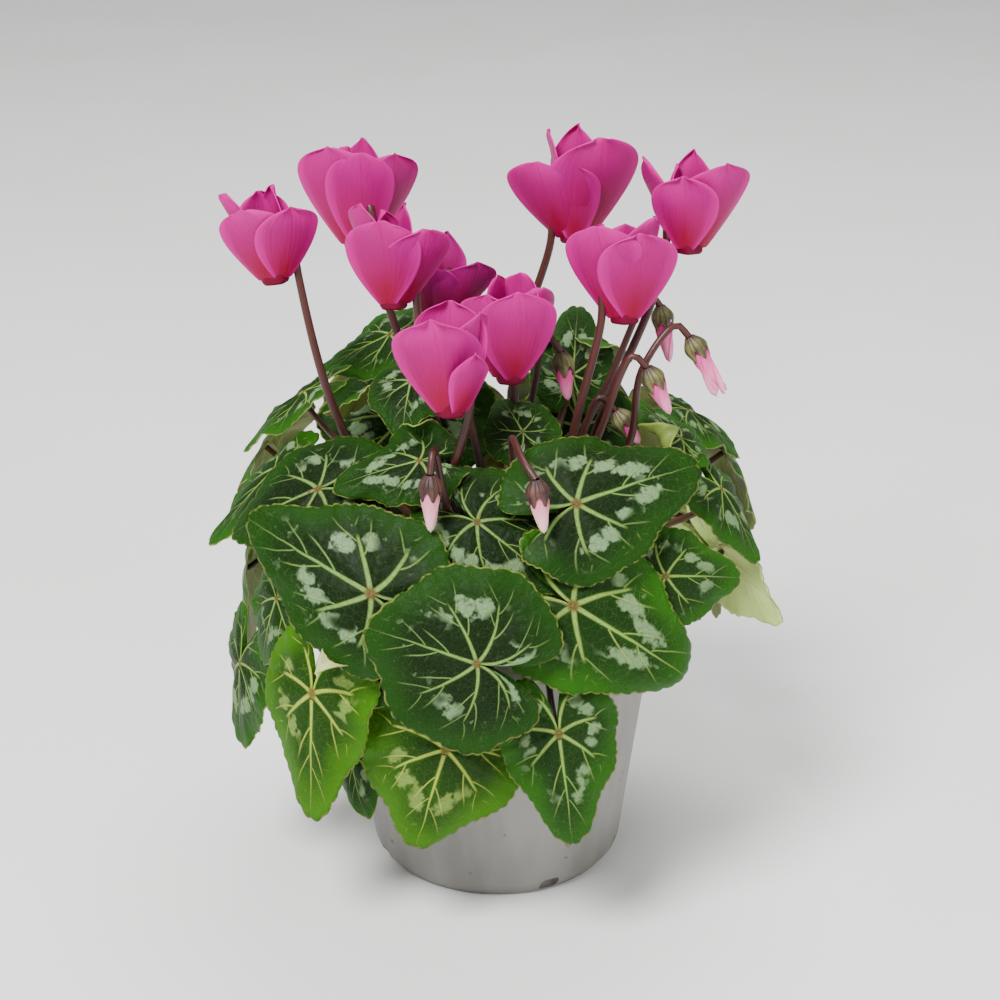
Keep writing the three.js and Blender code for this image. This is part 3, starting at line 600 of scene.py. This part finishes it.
def pot_finish():
    """Thin grey plastic: faint flow marks, dull patches, painted shade darkening the foot, and dry soil specks
    near the foot.
    """
    bench = Bench("grey pot plastic")
    place = bench.place()
    height = bench.part(place, 2)
    drawn = bench.make("Mapping", None, {"Vector": place, "Scale": (1, 1, 0.25)})
    flow = bench.grain(60, 4, drawn)
    colour = bench.blend(flow.step(0.3, 0.7), tone("74726E"), tone("8C8A85"))
    # painted shade: darker in the lowest 3 cm, towards the floor
    colour = bench.blend(height.step(0.03, 0.0) * 0.4, colour, tone("5C5852"))
    fine = bench.grain(700, 3)
    speck = bench.grain(120, 2).step(0.66, 0.7) * fine.step(0.4, 0.6) * height.step(0.05, 0.01)
    colour = bench.blend(speck * 0.85, colour, tone("4E3B2B"))
    normal = bench.raised(flow * 0.4 + fine * 0.1, 0.0006, 0.35)
    normal = bench.raised(speck, 0.0004, 0.6, normal)
    return bench.finish(colour, flow * 0.15 + 0.5 + speck * 0.3, normal, subsurface_weight=0.08,
                        subsurface_scale=0.004)


def soil_finish():
    """Dark peat with paler fibres."""
    bench = Bench("moist peat")
    coarse = bench.grain(240, 5)
    fibre = bench.cells(420, feature="F1")
    colour = bench.blend(coarse.step(0.35, 0.75), tone("241810"), tone("5A422E"))
    colour = bench.blend(fibre.step(0.12, 0.0) * 0.5, colour, tone("8A6E50"))
    return bench.finish(colour, coarse * 0.2 + 0.75, bench.raised(coarse + fibre * 0.5, 0.0012, 0.9))


def tuber_finish():
    """Brown cork with dark cracks."""
    bench = Bench("corky tuber")
    bark = bench.grain(160, 6)
    crack = bench.cells(90).step(0.08, 0.0)
    colour = bench.blend(bark.step(0.35, 0.7), tone("4A3426"), tone("8A6A4C"))
    colour = bench.blend(crack * 0.7, colour, tone("2A1A12"))
    return bench.finish(colour, bark * 0.2 + 0.65, bench.raised(bark - crack * 0.6, 0.001, 0.8))


# tones of the blade's middle, outer zone, veins and silver; the silver's share; the underside and its veins
LEAF_TONES = {
    "dark": ("071D00", "133C00", "7E9E50", "7E9C70", 1.0, "4C6424", "86984A"),
    "mid": ("0C2C00", "205600", "8CAA50", "7E9C6C", 0.8, "6C8430", "A2B05C"),
    "bright": ("163A00", "386C00", "B0C24E", "86A24C", 0.6, "A8B868", "DDE2AE"),
    "pale": ("245014", "4C7C28", "B0C068", "94AC7C", 0.3, "BCDA78", "E2F0B0"),
}
LEAF_FINISH = {
    name: [leaf_top(f"leaf {name}", *tones[:5]), leaf_under(f"leaf {name} underside", *tones[5:])]
    for name, tones in LEAF_TONES.items()
}
MARGIN = leaf_margin("leaf margin", "7C8A3A")
PETAL = petal_finish("petal", "A0006A", "8A0030", "D00A92")
# a darker copy of the petal finish: painted shade for blooms that sit in the shade of the others
PETAL_PAINTED_SHADE = petal_finish("petal in shade", "88005A", "78002A", "B01282")
NOSE = nose_finish()
# the dark low tones of both stalks are painted shade among the leaves
STEM = stem_finish("flower stem", "140605", "44160F", 110, 200)
PETIOLE = stem_finish("leaf stalk", "24120C", "5C4028", 95, 150)
CALYX = calyx_finish("calyx", "6E6C3A", "3A2E1C")
CALYX_YOUNG = calyx_finish("young calyx", "5A3428", "2E1410")
BUD = bud_finish("bud", "E03C94", "F294BC")
BUD_PALE = bud_finish("young bud", "EA86A4", "F2C4BE")
POT_PLASTIC = pot_finish()
PEAT = soil_finish()
CORK = tuber_finish()

# the finish of each blade that isn't mid green; inner_left and inner_right take the dark finish as painted
# shade in the plant's middle
BLADE_LOOKS = {
    **dict.fromkeys((
        "front", "big_right", "centre", "big_left", "between", "dark_low", "upper_left", "mid_left",
        "top_left", "top_back", "centre_small", "back_2", "inner_left", "inner_right"), "dark"),
    **dict.fromkeys(("front_left", "left_low"), "bright"),
    "far_right": "pale",
}

# lobes that roll over: direction, spread, start as a share of the way to the margin, and bend
CURLS = {
    "right_low": (0, 20, 0.8, -40),
    "left_low": (145, 18, 0.6, 115),
    "right_mid": (128, 20, 0.72, 125),
    "mid_left": (-95, 18, 0.6, 110),
    "right_top": (90, 30, 0.55, 120),
}

# each bloom's petals: azimuth, breadth and length as shares, and spread
BLOOMS = {
    "flower_1": [(-125, 0.44, 0.85, 6), (-40, 0.42, 0.82, 8), (60, 0.24, 1, 3),
                 (110, 0.32, 0.95, 2), (165, 0.3, 0.98, 9)],
    "flower_2": [(-145, 0.4, 0.95, 8), (-80, 0.35, 0.9, 5), (-15, 0.4, 0.88, 10),
                 (70, 0.26, 1, 2), (130, 0.3, 0.92, 3)],
    "flower_3": [(-115, 0.42, 0.88, 5), (-30, 0.42, 0.8, 10), (50, 0.24, 1, 3),
                 (120, 0.28, 0.92, 3), (170, 0.32, 1, 8)],
    "flower_4": [(-145, 0.42, 0.74, 9), (-85, 0.3, 0.62, 4), (-30, 0.44, 0.74, 10),
                 (90, 0.26, 1, 2), (150, 0.34, 0.9, 5)],
    "flower_5": [(-120, 0.42, 0.92, 6), (-45, 0.28, 0.62, 9), (10, 0.36, 0.92, 6),
                 (85, 0.34, 1, 3), (165, 0.24, 0.6, 13)],
    "flower_6": [(-150, 0.4, 0.86, 6), (-70, 0.42, 0.9, 5), (0, 0.34, 0.9, 5),
                 (60, 0.32, 1, 4), (130, 0.32, 0.98, 4)],
    "flower_7": [(-145, 0.46, 0.76, 12), (-90, 0.32, 0.72, 4), (-35, 0.46, 0.96, 8),
                 (75, 0.24, 1.05, 2), (150, 0.34, 1, 6)],
    "flower_8": [(-140, 0.4, 0.95, 9), (-60, 0.44, 0.88, 5), (15, 0.4, 1, 6),
                 (90, 0.3, 0.92, 3), (150, 0.32, 0.92, 5)],
    "flower_9": [(-110, 0.42, 0.8, 5), (-25, 0.42, 0.92, 9), (80, 0.22, 1, 2),
                 (125, 0.32, 0.85, 3), (172, 0.28, 0.94, 12)],
}
# blooms whose petals take the darker copy, as painted shade
SHADED_BLOOMS = ["flower_4"]

# how far a bud's petals have parted, and the finishes of its petals and sepals
BUD_LOOKS = {
    "bud_2": (1, BUD, CALYX),
    "bud_5": (0, BUD_PALE, CALYX_YOUNG),
    "bud_6": (0, BUD_PALE, CALYX_YOUNG),
}


# ---- pot, peat and tuber

def make_pot():
    """Thin wall and lip, with drain slots cut at the foot."""
    wall = POT.wall
    profile = [
        (POT.foot - 4, 1.0), (POT.foot - 3, 0.0), (POT.foot, 0.0), (POT.foot + 1.6, 0.7),
        (POT.heel - 0.8, POT.heel_height - 2), (POT.heel, POT.heel_height),
        (44.4, 17), (48.4, 47), (52.4, 77), (POT.collar - 0.2, POT.collar_height - 0.8),
        (POT.collar + 0.6, POT.collar_height), (POT.lip - 0.8, POT.collar_height + 1.2),
        (POT.lip, POT.collar_height + 2), (POT.lip + 0.35, POT.height - 0.7),
        (POT.lip + 0.1, POT.height), (POT.lip - wall + 0.2, POT.height),
        (POT.lip - wall, POT.height - 0.7), (POT.collar - wall + 0.6, POT.collar_height + 2),
        (POT.collar - wall, POT.collar_height), (POT.heel - wall, POT.heel_height),
        (POT.foot - wall, wall + 0.4), (POT.foot - 5, wall + 0.3),
    ]
    pot = turned(profile, 144, POT_PLASTIC)
    for drain in range(DRAINS.count):
        azimuth = DRAINS.first + 360 * drain / DRAINS.count
        middle = pointing(azimuth, 0) * POT.heel + UP * (DRAINS.sill + DRAINS.height / 2)
        bpy.ops.mesh.primitive_cube_add(
            size=1, location=middle * MM, rotation=(0, 0, math.radians(azimuth)),
            scale=(DRAINS.depth * MM, DRAINS.width * MM, DRAINS.height * MM))
        drain_slot = finished(bpy.context.object, [("BEVEL", {"width": 1.6 * MM, "segments": 3})])
        finished(pot, [("BOOLEAN", {"object": drain_slot, "operation": "DIFFERENCE", "solver": "EXACT"})])
        bpy.data.objects.remove(drain_slot)
    select_only(pot)
    bpy.ops.object.shade_smooth_by_angle(angle=math.radians(40))
    keep(pot, "pot_shell", "pot")


def make_soil():
    """Peat with a hollow for the tuber, an uneven top and loose crumbs."""
    rim = POT.collar - POT.wall - 1.6
    rings = 9
    profile = [(POT.foot - 3, 1.7), (POT.heel - 2.6, POT.heel_height + 1), (rim - 1, SOIL_TOP - 6),
               (rim, SOIL_TOP - 1)]
    profile += [(rim - ring * (rim - SOIL_HOLLOW) / rings, SOIL_TOP) for ring in range(1, rings + 1)]
    profile += [(25.6, 84), (19.7, 76.3), (8.3, 73.8)]
    soil = turned(profile, 96, PEAT)
    for vertex in soil.data.vertices:
        if vertex.co.z > (SOIL_TOP - 0.5) * MM:
            vertex.co.z += 1.3 * MM * noise.noise(vertex.co * 260) + 0.8 * MM * noise.noise(vertex.co * 700)
    random.seed(7)
    crumbs = []
    for _ in range(150):
        azimuth = random.uniform(0, 360)
        spot = pointing(azimuth, 0) * random.uniform(28, rim - 2) + UP * (SOIL_TOP + random.uniform(0.1, 0.7))
        bpy.ops.mesh.primitive_ico_sphere_add(
            subdivisions=1, radius=random.uniform(0.7, 1.9) * MM, location=spot * MM)
        crumb = bpy.context.object
        for vertex in crumb.data.vertices:
            vertex.co *= random.uniform(0.7, 1.25)
        crumb.data.materials.append(PEAT)
        crumbs.append(crumb)
    select_only(soil, *crumbs)
    bpy.ops.object.transform_apply(location=True, rotation=True, scale=True)
    keep(merged([soil, *crumbs]), "peat", "soil")


def make_tuber():
    """The flattened tuber with its corky, uneven crown."""
    profile = [(8, 74), (19.4, 76.6), (24.6, 82), (24.9, 86), (24.6, 90), (23.8, 92.6), (22.6, 93.9),
               (16, 94.1), (9, 94), (3, 94.1)]
    tuber = turned(profile, 72, CORK)
    for vertex in tuber.data.vertices:
        rough = 0.3 * noise.noise(vertex.co * 160) + 0.12 * noise.noise(vertex.co * 520)
        vertex.co.z += rough * MM
        vertex.co.xy *= 1 + 0.012 * noise.noise(vertex.co * 130)
    select_only(tuber)
    bpy.ops.object.shade_smooth()
    keep(tuber, "tuber_crown", "tuber")


# ---- leaves

TEETH_PER_MM = 1.15
TOOTH_DEPTH = 0.028
BLADE_THICKNESS = 0.4

# columns and rows of a blade, and the same behind the middle, where blades are seen from farther away
BLADE_GRID = (192, 20)
BLADE_GRID_BEHIND = (120, 12)
BEHIND = 25

# a low petiole leaves the crown and goes over the pot's lip: (radius, height) on its way
LOW_RISE = 3.6
HIGH_RISE = 8.4
LOW_ARCH = ((46, 109), (63, 107))
PETIOLE_RADII = [1.5, 1.35, 1.25, 1.15, 1.0]


def envelope(offset):
    """How far the dome lies from its middle, in the direction of offset."""
    total = sum(abs(part / half) ** ENVELOPE.square for part, half in zip(offset, ENVELOPE.half))
    return offset.length / total ** (1 / ENVELOPE.square)


class Leaf:
    """A leaf: its blade's axes, its outline, its rolled lobe and its petiole."""

    def __init__(self, row):
        self.name, shared, at, face, turn, self.length, self.width, self.round, self.drape, self.low = row
        self.node = f"leaf_{shared or self.name}"
        self.at = Vector(at)
        self.normal = pointing(*face)
        downhill = (self.normal * self.normal.z - UP).normalized()
        across = self.normal.cross(downhill)
        turn = math.radians(turn)
        self.tip = downhill * math.cos(turn) + across * math.sin(turn)
        self.side = self.normal.cross(self.tip)
        offset = self.at - ENVELOPE.middle
        self.layer = offset.length - envelope(offset)
        self.look = BLADE_LOOKS.get(self.name, "mid")
        self.curl = CURLS.get(self.name)

    def reach(self, angle):
        """From the petiole to the margin: heart-shaped and a little angular."""
        share = abs(angle) / math.pi
        outline = self.round + (1 - self.round) * math.exp(-((angle / HEART.taper) ** 2))
        notch = 1 - HEART.notch * math.exp(-(((math.pi - abs(angle)) / HEART.sinus) ** 2))
        corners = 1 + 0.028 * math.cos(VEINS * angle) + 0.07 * noise.noise(
            Vector((2.2 * math.cos(angle), 2.2 * math.sin(angle), self.length)))
        return self.length * outline * (1 - HEART.lobes * share**3) * notch * corners

    def point(self, angle, ring):
        """A point of the blade: toothed at the margin, draped over the dome, puckered and waved."""
        teeth = round(self.length * TEETH_PER_MM)
        swing = 2 * noise.noise(Vector((angle * 2, self.length, 0)))
        tooth = TOOTH_DEPTH * abs(math.sin(teeth * angle / 2 + swing))
        reach = ring * self.reach(angle) * (1 + tooth * smooth(0.9, 1.0, ring))
        along, across = reach * math.cos(angle), reach * math.sin(angle) * self.width
        flat = self.at + self.tip * along + self.side * across
        offset = flat - ENVELOPE.middle
        draped = ENVELOPE.middle + offset.normalized() * (envelope(offset) + self.layer)
        around = Vector((math.cos(angle), math.sin(angle), self.length))
        relief = math.sin(5 * angle + self.length) * ring**3 - 3 * ring**2
        relief -= 0.8 * math.cos(VEINS * angle) * ring**0.7 * smooth(1.15, 0.6, ring)
        relief += ring**4 * (1.8 * noise.noise(around * 2.6) + 0.9 * noise.noise(around * 7))
        return flat.lerp(draped, self.drape) + self.normal * relief

    def place(self, angle, ring):
        """The same point once its lobe has rolled over the line where the curl starts."""
        if self.curl:
            direction, spread, start, bend = self.curl
            away = abs((math.degrees(angle) - direction + 180) % 360 - 180)
            share = math.exp(-((away / spread) ** 2))
            if ring > start and share > 0.03:
                hinge = self.point(angle, start)
                arm = self.point(angle, ring) - hinge
                axis = arm.cross(self.normal).normalized()
                roll = math.radians(bend) * share * (ring - start) / (1 - start)
                return hinge + Matrix.Rotation(roll, 3, axis) @ arm
        return self.point(angle, ring)

    def blade(self):
        def place(u, v):
            return self.place(math.pi * (1 - 2 * u), v)

        def blade_map(u, v):
            angle = math.pi * (1 - 2 * u)
            reach = v * self.reach(angle) / self.length
            return reach * math.cos(angle), reach * math.sin(angle)

        grid = BLADE_GRID_BEHIND if self.at.y > BEHIND else BLADE_GRID
        piece = bent_grid(*grid, place, {"blade": blade_map, "rim": lambda u, v: (u, v)})
        for material in (*LEAF_FINISH[self.look], MARGIN):
            piece.data.materials.append(material)
        return finished(piece, [("SOLIDIFY", {"thickness": BLADE_THICKNESS * MM, "offset": -1,
                                              "material_offset": 1, "material_offset_rim": 2})])

    def petiole(self, stand):
        end = self.at + self.tip * 2.5 - self.normal * 0.5
        away = Vector((end.x, end.y, 0)).normalized()
        lift = stand + UP * (LOW_RISE if self.low else HIGH_RISE) + away * 0.5
        if self.low:
            middle = [*(away * radius + UP * height for radius, height in LOW_ARCH), end - away * 10 + UP * 7]
        else:
            under = end - self.normal * 16
            middle = [stand.lerp(under, 0.5) + UP * 6, under]
        return stalk([stand, lift, *middle, end], PETIOLE_RADII, PETIOLE)


def make_leaves():
    """Every leaf, joined with those that share its node."""
    leaves = [Leaf(row) for row in LEAVES]
    owners = [leaf for leaf in leaves if leaf.node == f"leaf_{leaf.name}"]
    stands = {
        **spread_stands([(leaf.node, leaf.at.xy) for leaf in owners if leaf.low], STANDS.low),
        **spread_stands([(leaf.node, leaf.at.xy) for leaf in owners if not leaf.low], STANDS.high),
    }
    for owner in owners:
        pieces = []
        for leaf in leaves:
            if leaf.node == owner.node:
                pieces += [leaf.blade(), leaf.petiole(stands[owner.node])]
        keep(merged(pieces), f"{owner.name}_foliage", owner.node)


# ---- flowers

STEM_RISE = 9
STEM_BEND = 3.76
STEM_RADII = [1.75, 1.6, 1.5, 1.4, 1.3, 1.25]
STOUT_STEM_RADII = [2.625, 2.4, 2.25, 1.4, 1.3, 1.25]
STOUT_STEMS = ["flower_5"]
CALYX_LOBES = 2.2
CALYX_RADIUS = 4.1

# the nose's outline, from inside its mouth, round the rim and up to the calyx: (radius, height)
NOSE_OUTLINE = [(0, 2.5), (2.7, 1.2), (3.3, -0.7), (3.9, -0.9), (4.4, -0.2), (4.4, 1.2), (4.2, 4),
                (3.6, 8), (0, 8.2)]

# a petal: distance from the axis and half breadth at its claw, where it is broadest, its thickness,
# how far its edges curve in, and how far it leans and twists at the side of a bloom
CLAW = SimpleNamespace(radius=3.7, half=2.6)
BROADEST = 0.68
PETAL_THICKNESS = 0.45
CUP = 2.6
LEAN = 26
TWIST = 14

# the azimuth that faces forwards, how far round its neighbours stand, and how far a covered edge is drawn in
FOREMOST = -80
NEIGHBOURS = 95
TUCK = 6.0


def bloom_axes(mouth, lean, back):
    """Places a point of a bloom: x towards its stem, z from its mouth up to its calyx."""
    axis = pointing(lean[0], 90 - lean[1])
    side = pointing(back, 0)
    side = (side - axis * side.dot(axis)).normalized()
    turn = Matrix((side, axis.cross(side), axis)).transposed()
    return lambda point: Vector(mouth) + turn @ Vector(point)


def petal_half(length, breadth, along):
    """Half a petal's breadth: a narrow claw, then a broad blade with a rounded or a pointed end."""
    broad = length * breadth
    if along < BROADEST:
        return CLAW.half + (broad - CLAW.half) * math.sin(math.pi / 2 * along / BROADEST)
    blunt, power = (2.4, 0.5) if breadth > 0.28 else (1.5, 0.8)
    return broad * max(0.01, 1 - ((along - BROADEST) / 0.322) ** blunt) ** power


def tucked_edges(azimuth, azimuths):
    """Whether a petal's near and far edge, by azimuth, lie under the foremost petal."""
    step = azimuth - min(azimuths, key=lambda other: abs(other - FOREMOST))
    return 0 < step < NEIGHBOURS, -NEIGHBOURS < step < 0


def make_petal(locate, back, azimuth, breadth, length, spread, tucked):
    """A swept-back petal: out from the mouth, up past the calyx, cupped, twisted and waved at its tip."""
    sideways = math.cos(math.radians(azimuth))
    lean = LEAN * sideways + random.uniform(-4, 4)
    twist = TWIST * sideways + random.uniform(-5, 5)
    turn = math.radians(azimuth - back)
    flare, wave, phase = random.uniform(-1.5, 0.5), random.uniform(0.6, 1.5), random.uniform(0, TAU)

    def place(u, v):
        along = min(v, 0.998)
        across = 1 - 2 * u
        sweep = petal_half(length, breadth, along) * across
        radius = CLAW.radius + spread * along**0.85 + flare * along**3
        angle = math.radians(lean + twist * along)
        ripple = wave * math.sin(3.2 * across + 5 * along + phase) * along**2
        cup = (CUP + TUCK * tucked[across > 0]) * across**2 * math.sin(math.pi * along) - ripple
        x = radius - cup * math.cos(angle) + sweep * math.sin(angle)
        y = sweep * math.cos(angle) + cup * math.sin(angle)
        z = 0.8 + (length - 1.4) * along - 0.9 * across**2 * along
        return locate((x * math.cos(turn) - y * math.sin(turn), x * math.sin(turn) + y * math.cos(turn), z))

    piece = bent_grid(18, 22, place, {"petal": lambda u, v: (u, v)}, weld=False)
    return finished(piece, [("SOLIDIFY", {"thickness": PETAL_THICKNESS * MM, "offset": -1}),
                            ("SUBSURF", {"levels": 1, "render_levels": 1})])


def make_nose(locate):
    radii, heights = zip(*NOSE_OUTLINE)

    def place(u, v):
        azimuth = TAU * u
        radius = between(radii, v) * (1 + 0.05 * math.cos(5 * azimuth))
        return locate((radius * math.cos(azimuth), radius * math.sin(azimuth), between(heights, v)))

    piece = bent_grid(40, 24, place, {"petal": lambda u, v: (u, v)})
    piece.data.materials.append(NOSE)
    return piece


def make_corolla(name, locate, back, length):
    """Five petals that overlap in front, on their nose."""
    random.seed(name)
    # blooms in SHADED_BLOOMS take the darker petal copy as painted shade
    finish = PETAL_PAINTED_SHADE if name in SHADED_BLOOMS else PETAL
    azimuths = [azimuth for azimuth, *_ in BLOOMS[name]]
    pieces = []
    for azimuth, breadth, share, spread in BLOOMS[name]:
        tucked = tucked_edges(azimuth, azimuths)
        petal = make_petal(locate, back, azimuth, breadth, length * share, spread, tucked)
        petal.data.materials.append(finish)
        pieces.append(petal)
    keep(merged([*pieces, make_nose(locate)]), f"{name}_corolla", f"{name}_petals")


def calyx_cup(locate, joint, mouth, lobe, radius, finish):
    """Calyx: a cup that widens from the stem's joint to its mouth, then five pointed lobes."""
    depth = abs(mouth - joint)
    ahead = 1 if mouth > joint else -1

    def place(u, v):
        azimuth = TAU * u
        peak = (0.5 + 0.5 * math.cos(5 * azimuth)) ** 0.8
        along = v * (depth + lobe * peak)
        past = max(0, along - depth) / lobe
        wide = 1.25 + (radius - 1.25) * smooth(0, 1, min(1, along / depth) ** 0.7) - 0.25 * radius * past
        wide *= 1 + 0.05 * math.cos(5 * azimuth) + 0.02 * math.cos(15 * azimuth)
        return locate((wide * math.cos(azimuth), wide * math.sin(azimuth), joint + ahead * along))

    piece = bent_grid(60, 16, place, {"sepal": lambda u, v: (u, v)})
    piece.data.materials.append(finish)
    return finished(outward(piece), [("SOLIDIFY", {"thickness": 0.35 * MM, "offset": 1})])


def make_flowers(stands):
    """Each bloom, and the stem that hooks over to its calyx."""
    base = NOSE_HEIGHT + CLEAR
    top = base + CALYX_HEIGHT
    bend = STEM_BEND
    hook = [(2 * bend, 0), (2 * bend, top - 1), (1.86 * bend, top + bend / 2), (bend, top + bend),
            (0.14 * bend, top + bend / 2), (0, top - 1.5)]
    for name, mouth, lean, back, length, way in FLOWERS:
        locate = bloom_axes(mouth, lean, back)
        make_corolla(name, locate, back, length)
        stand = stands[name]
        points = [stand, stand + UP * STEM_RISE, *way, *(locate((x, 0, z)) for x, z in hook)]
        stem = stalk(points, STOUT_STEM_RADII if name in STOUT_STEMS else STEM_RADII, STEM, 64, 4)
        cup = calyx_cup(locate, top, base + 1.6, CALYX_LOBES, CALYX_RADIUS, CALYX)
        keep(merged([stem, cup]), f"{name}_stalk", f"{name}_stem")


# ---- buds

BUD_RADIUS = 2.8
BUD_WIDTHS = [0.0, 0.8, 1.0, 1.0, 0.93, 0.84, 0.75, 0.66, 0.54, 0.38, 0.0]
BUD_STEM_RADII = [1.5, 1.35, 1.2, 1.1]
BUD_CALYX_LOBES = 3.8
BUD_CALYX_RADIUS = 3.4

# how far the furled petals wind round the bud, in radians, and how far parted petals stand out
FURL = 1.9
PARTED = 2.4


def make_bud(name, calyx, tip, hook, way, stand):
    """A hanging bud of furled petals, its calyx, and its hooked stem."""
    calyx = Vector(calyx)
    line = Vector(tip) - calyx
    turn = UP.rotation_difference(line.normalized()).to_matrix()
    opening, finish, sepal_finish = BUD_LOOKS.get(name, (0, BUD, CALYX))

    def locate(point):
        return calyx + turn @ Vector(point)

    def place(u, v):
        azimuth = TAU * u
        swirl = azimuth - FURL * v
        fold = 1 + 0.16 * ((5 * swirl / TAU) % 1 - 0.5)
        tongue = opening * math.cos(3 * swirl) * smooth(0.35, 1, v)
        width = between(BUD_WIDTHS, v, lambda part: smooth(0, 1, part))
        radius = BUD_RADIUS * width * fold + PARTED * max(0, tongue)
        height = v * line.length * (1 + 0.15 * tongue)
        return locate((radius * math.cos(azimuth), radius * math.sin(azimuth), height))

    cone = bent_grid(60, 30, place, {"bud": lambda u, v: (u - FURL * v / TAU, v)})
    cone.data.materials.append(finish)
    keep(outward(cone), f"{name}_cone", f"{name}_petals")
    points = [stand, stand + UP * STEM_RISE, *way, hook, locate((0, 0, -CALYX_HEIGHT))]
    stem = stalk(points, BUD_STEM_RADII, STEM, 52, 4)
    cup = calyx_cup(locate, -CALYX_HEIGHT, 0.8, BUD_CALYX_LOBES, BUD_CALYX_RADIUS, sepal_finish)
    keep(merged([stem, cup]), f"{name}_stalk", f"{name}_stem")


def make_blooms_and_buds():
    """Stands every stem on the crown, then makes what it carries."""
    first_points = {name: way[0][:2] for name, _, _, _, _, way in FLOWERS}
    first_points |= {name: way[0][:2] for name, _, _, _, way, _ in BUDS}
    inner = [name for name, *_, stands_inside in BUDS if stands_inside]
    stands = {
        **spread_stands([(name, at) for name, at in first_points.items() if name not in inner], STANDS.bloom),
        **spread_stands([(name, at) for name, at in first_points.items() if name in inner], STANDS.inner),
    }
    make_flowers(stands)
    for name, calyx, tip, hook, way, _ in BUDS:
        make_bud(name, calyx, tip, hook, way, stands[name])


make_pot()
make_soil()
make_tuber()
make_leaves()
make_blooms_and_buds()


# ---- floor, light and camera

def soft_light(name, place, aim, size, power):
    bpy.ops.object.light_add(type="AREA", location=place)
    lamp = bpy.context.object
    lamp.name = name
    lamp.data.shape = "DISK"
    lamp.data.size = size
    lamp.data.energy = power
    lamp.rotation_euler = (Vector(aim) - Vector(place)).to_track_quat("-Z", "Y").to_euler()


bpy.ops.object.select_all(action="DESELECT")
bpy.ops.mesh.primitive_plane_add(size=14, location=(0, 0, 0))
floor = bpy.context.object
floor.name = "floor"
bench = Bench("pale floor")
patches = bench.grain(6, 2).step(0.3, 0.7)
floor.data.materials.append(bench.finish(
    bench.blend(patches, tone("F4F4F2"), tone("F8F8F7")), bench.grain(9, 2) * 0.1 + 0.6))

soft_light("key", (-0.5, -0.9, 1.4), (0, 0, 0.15), 0.6, 46)
soft_light("fill", (1.3, -0.8, 0.7), (0, 0, 0.15), 1.0, 9)
soft_light("top", (0.2, 0.6, 1.5), (0, 0, 0.2), 1.0, 16)
world = bpy.data.worlds.new("studio")
world.use_nodes = True
background = world.node_tree.nodes["Background"]
background.inputs["Color"].default_value = (1, 1, 1, 1)
background.inputs["Strength"].default_value = 0.45
bpy.context.scene.world = world

LOOKING_DOWN = 22.6
bpy.ops.object.camera_add(location=(0, -0.7, 0.42), rotation=(math.radians(90 - LOOKING_DOWN), 0, 0))
camera = bpy.context.object
camera.data.sensor_width = 36
camera.data.lens = 81.972
camera.data.shift_x = 0.003
camera.data.clip_start = 0.05
bpy.context.scene.camera = camera
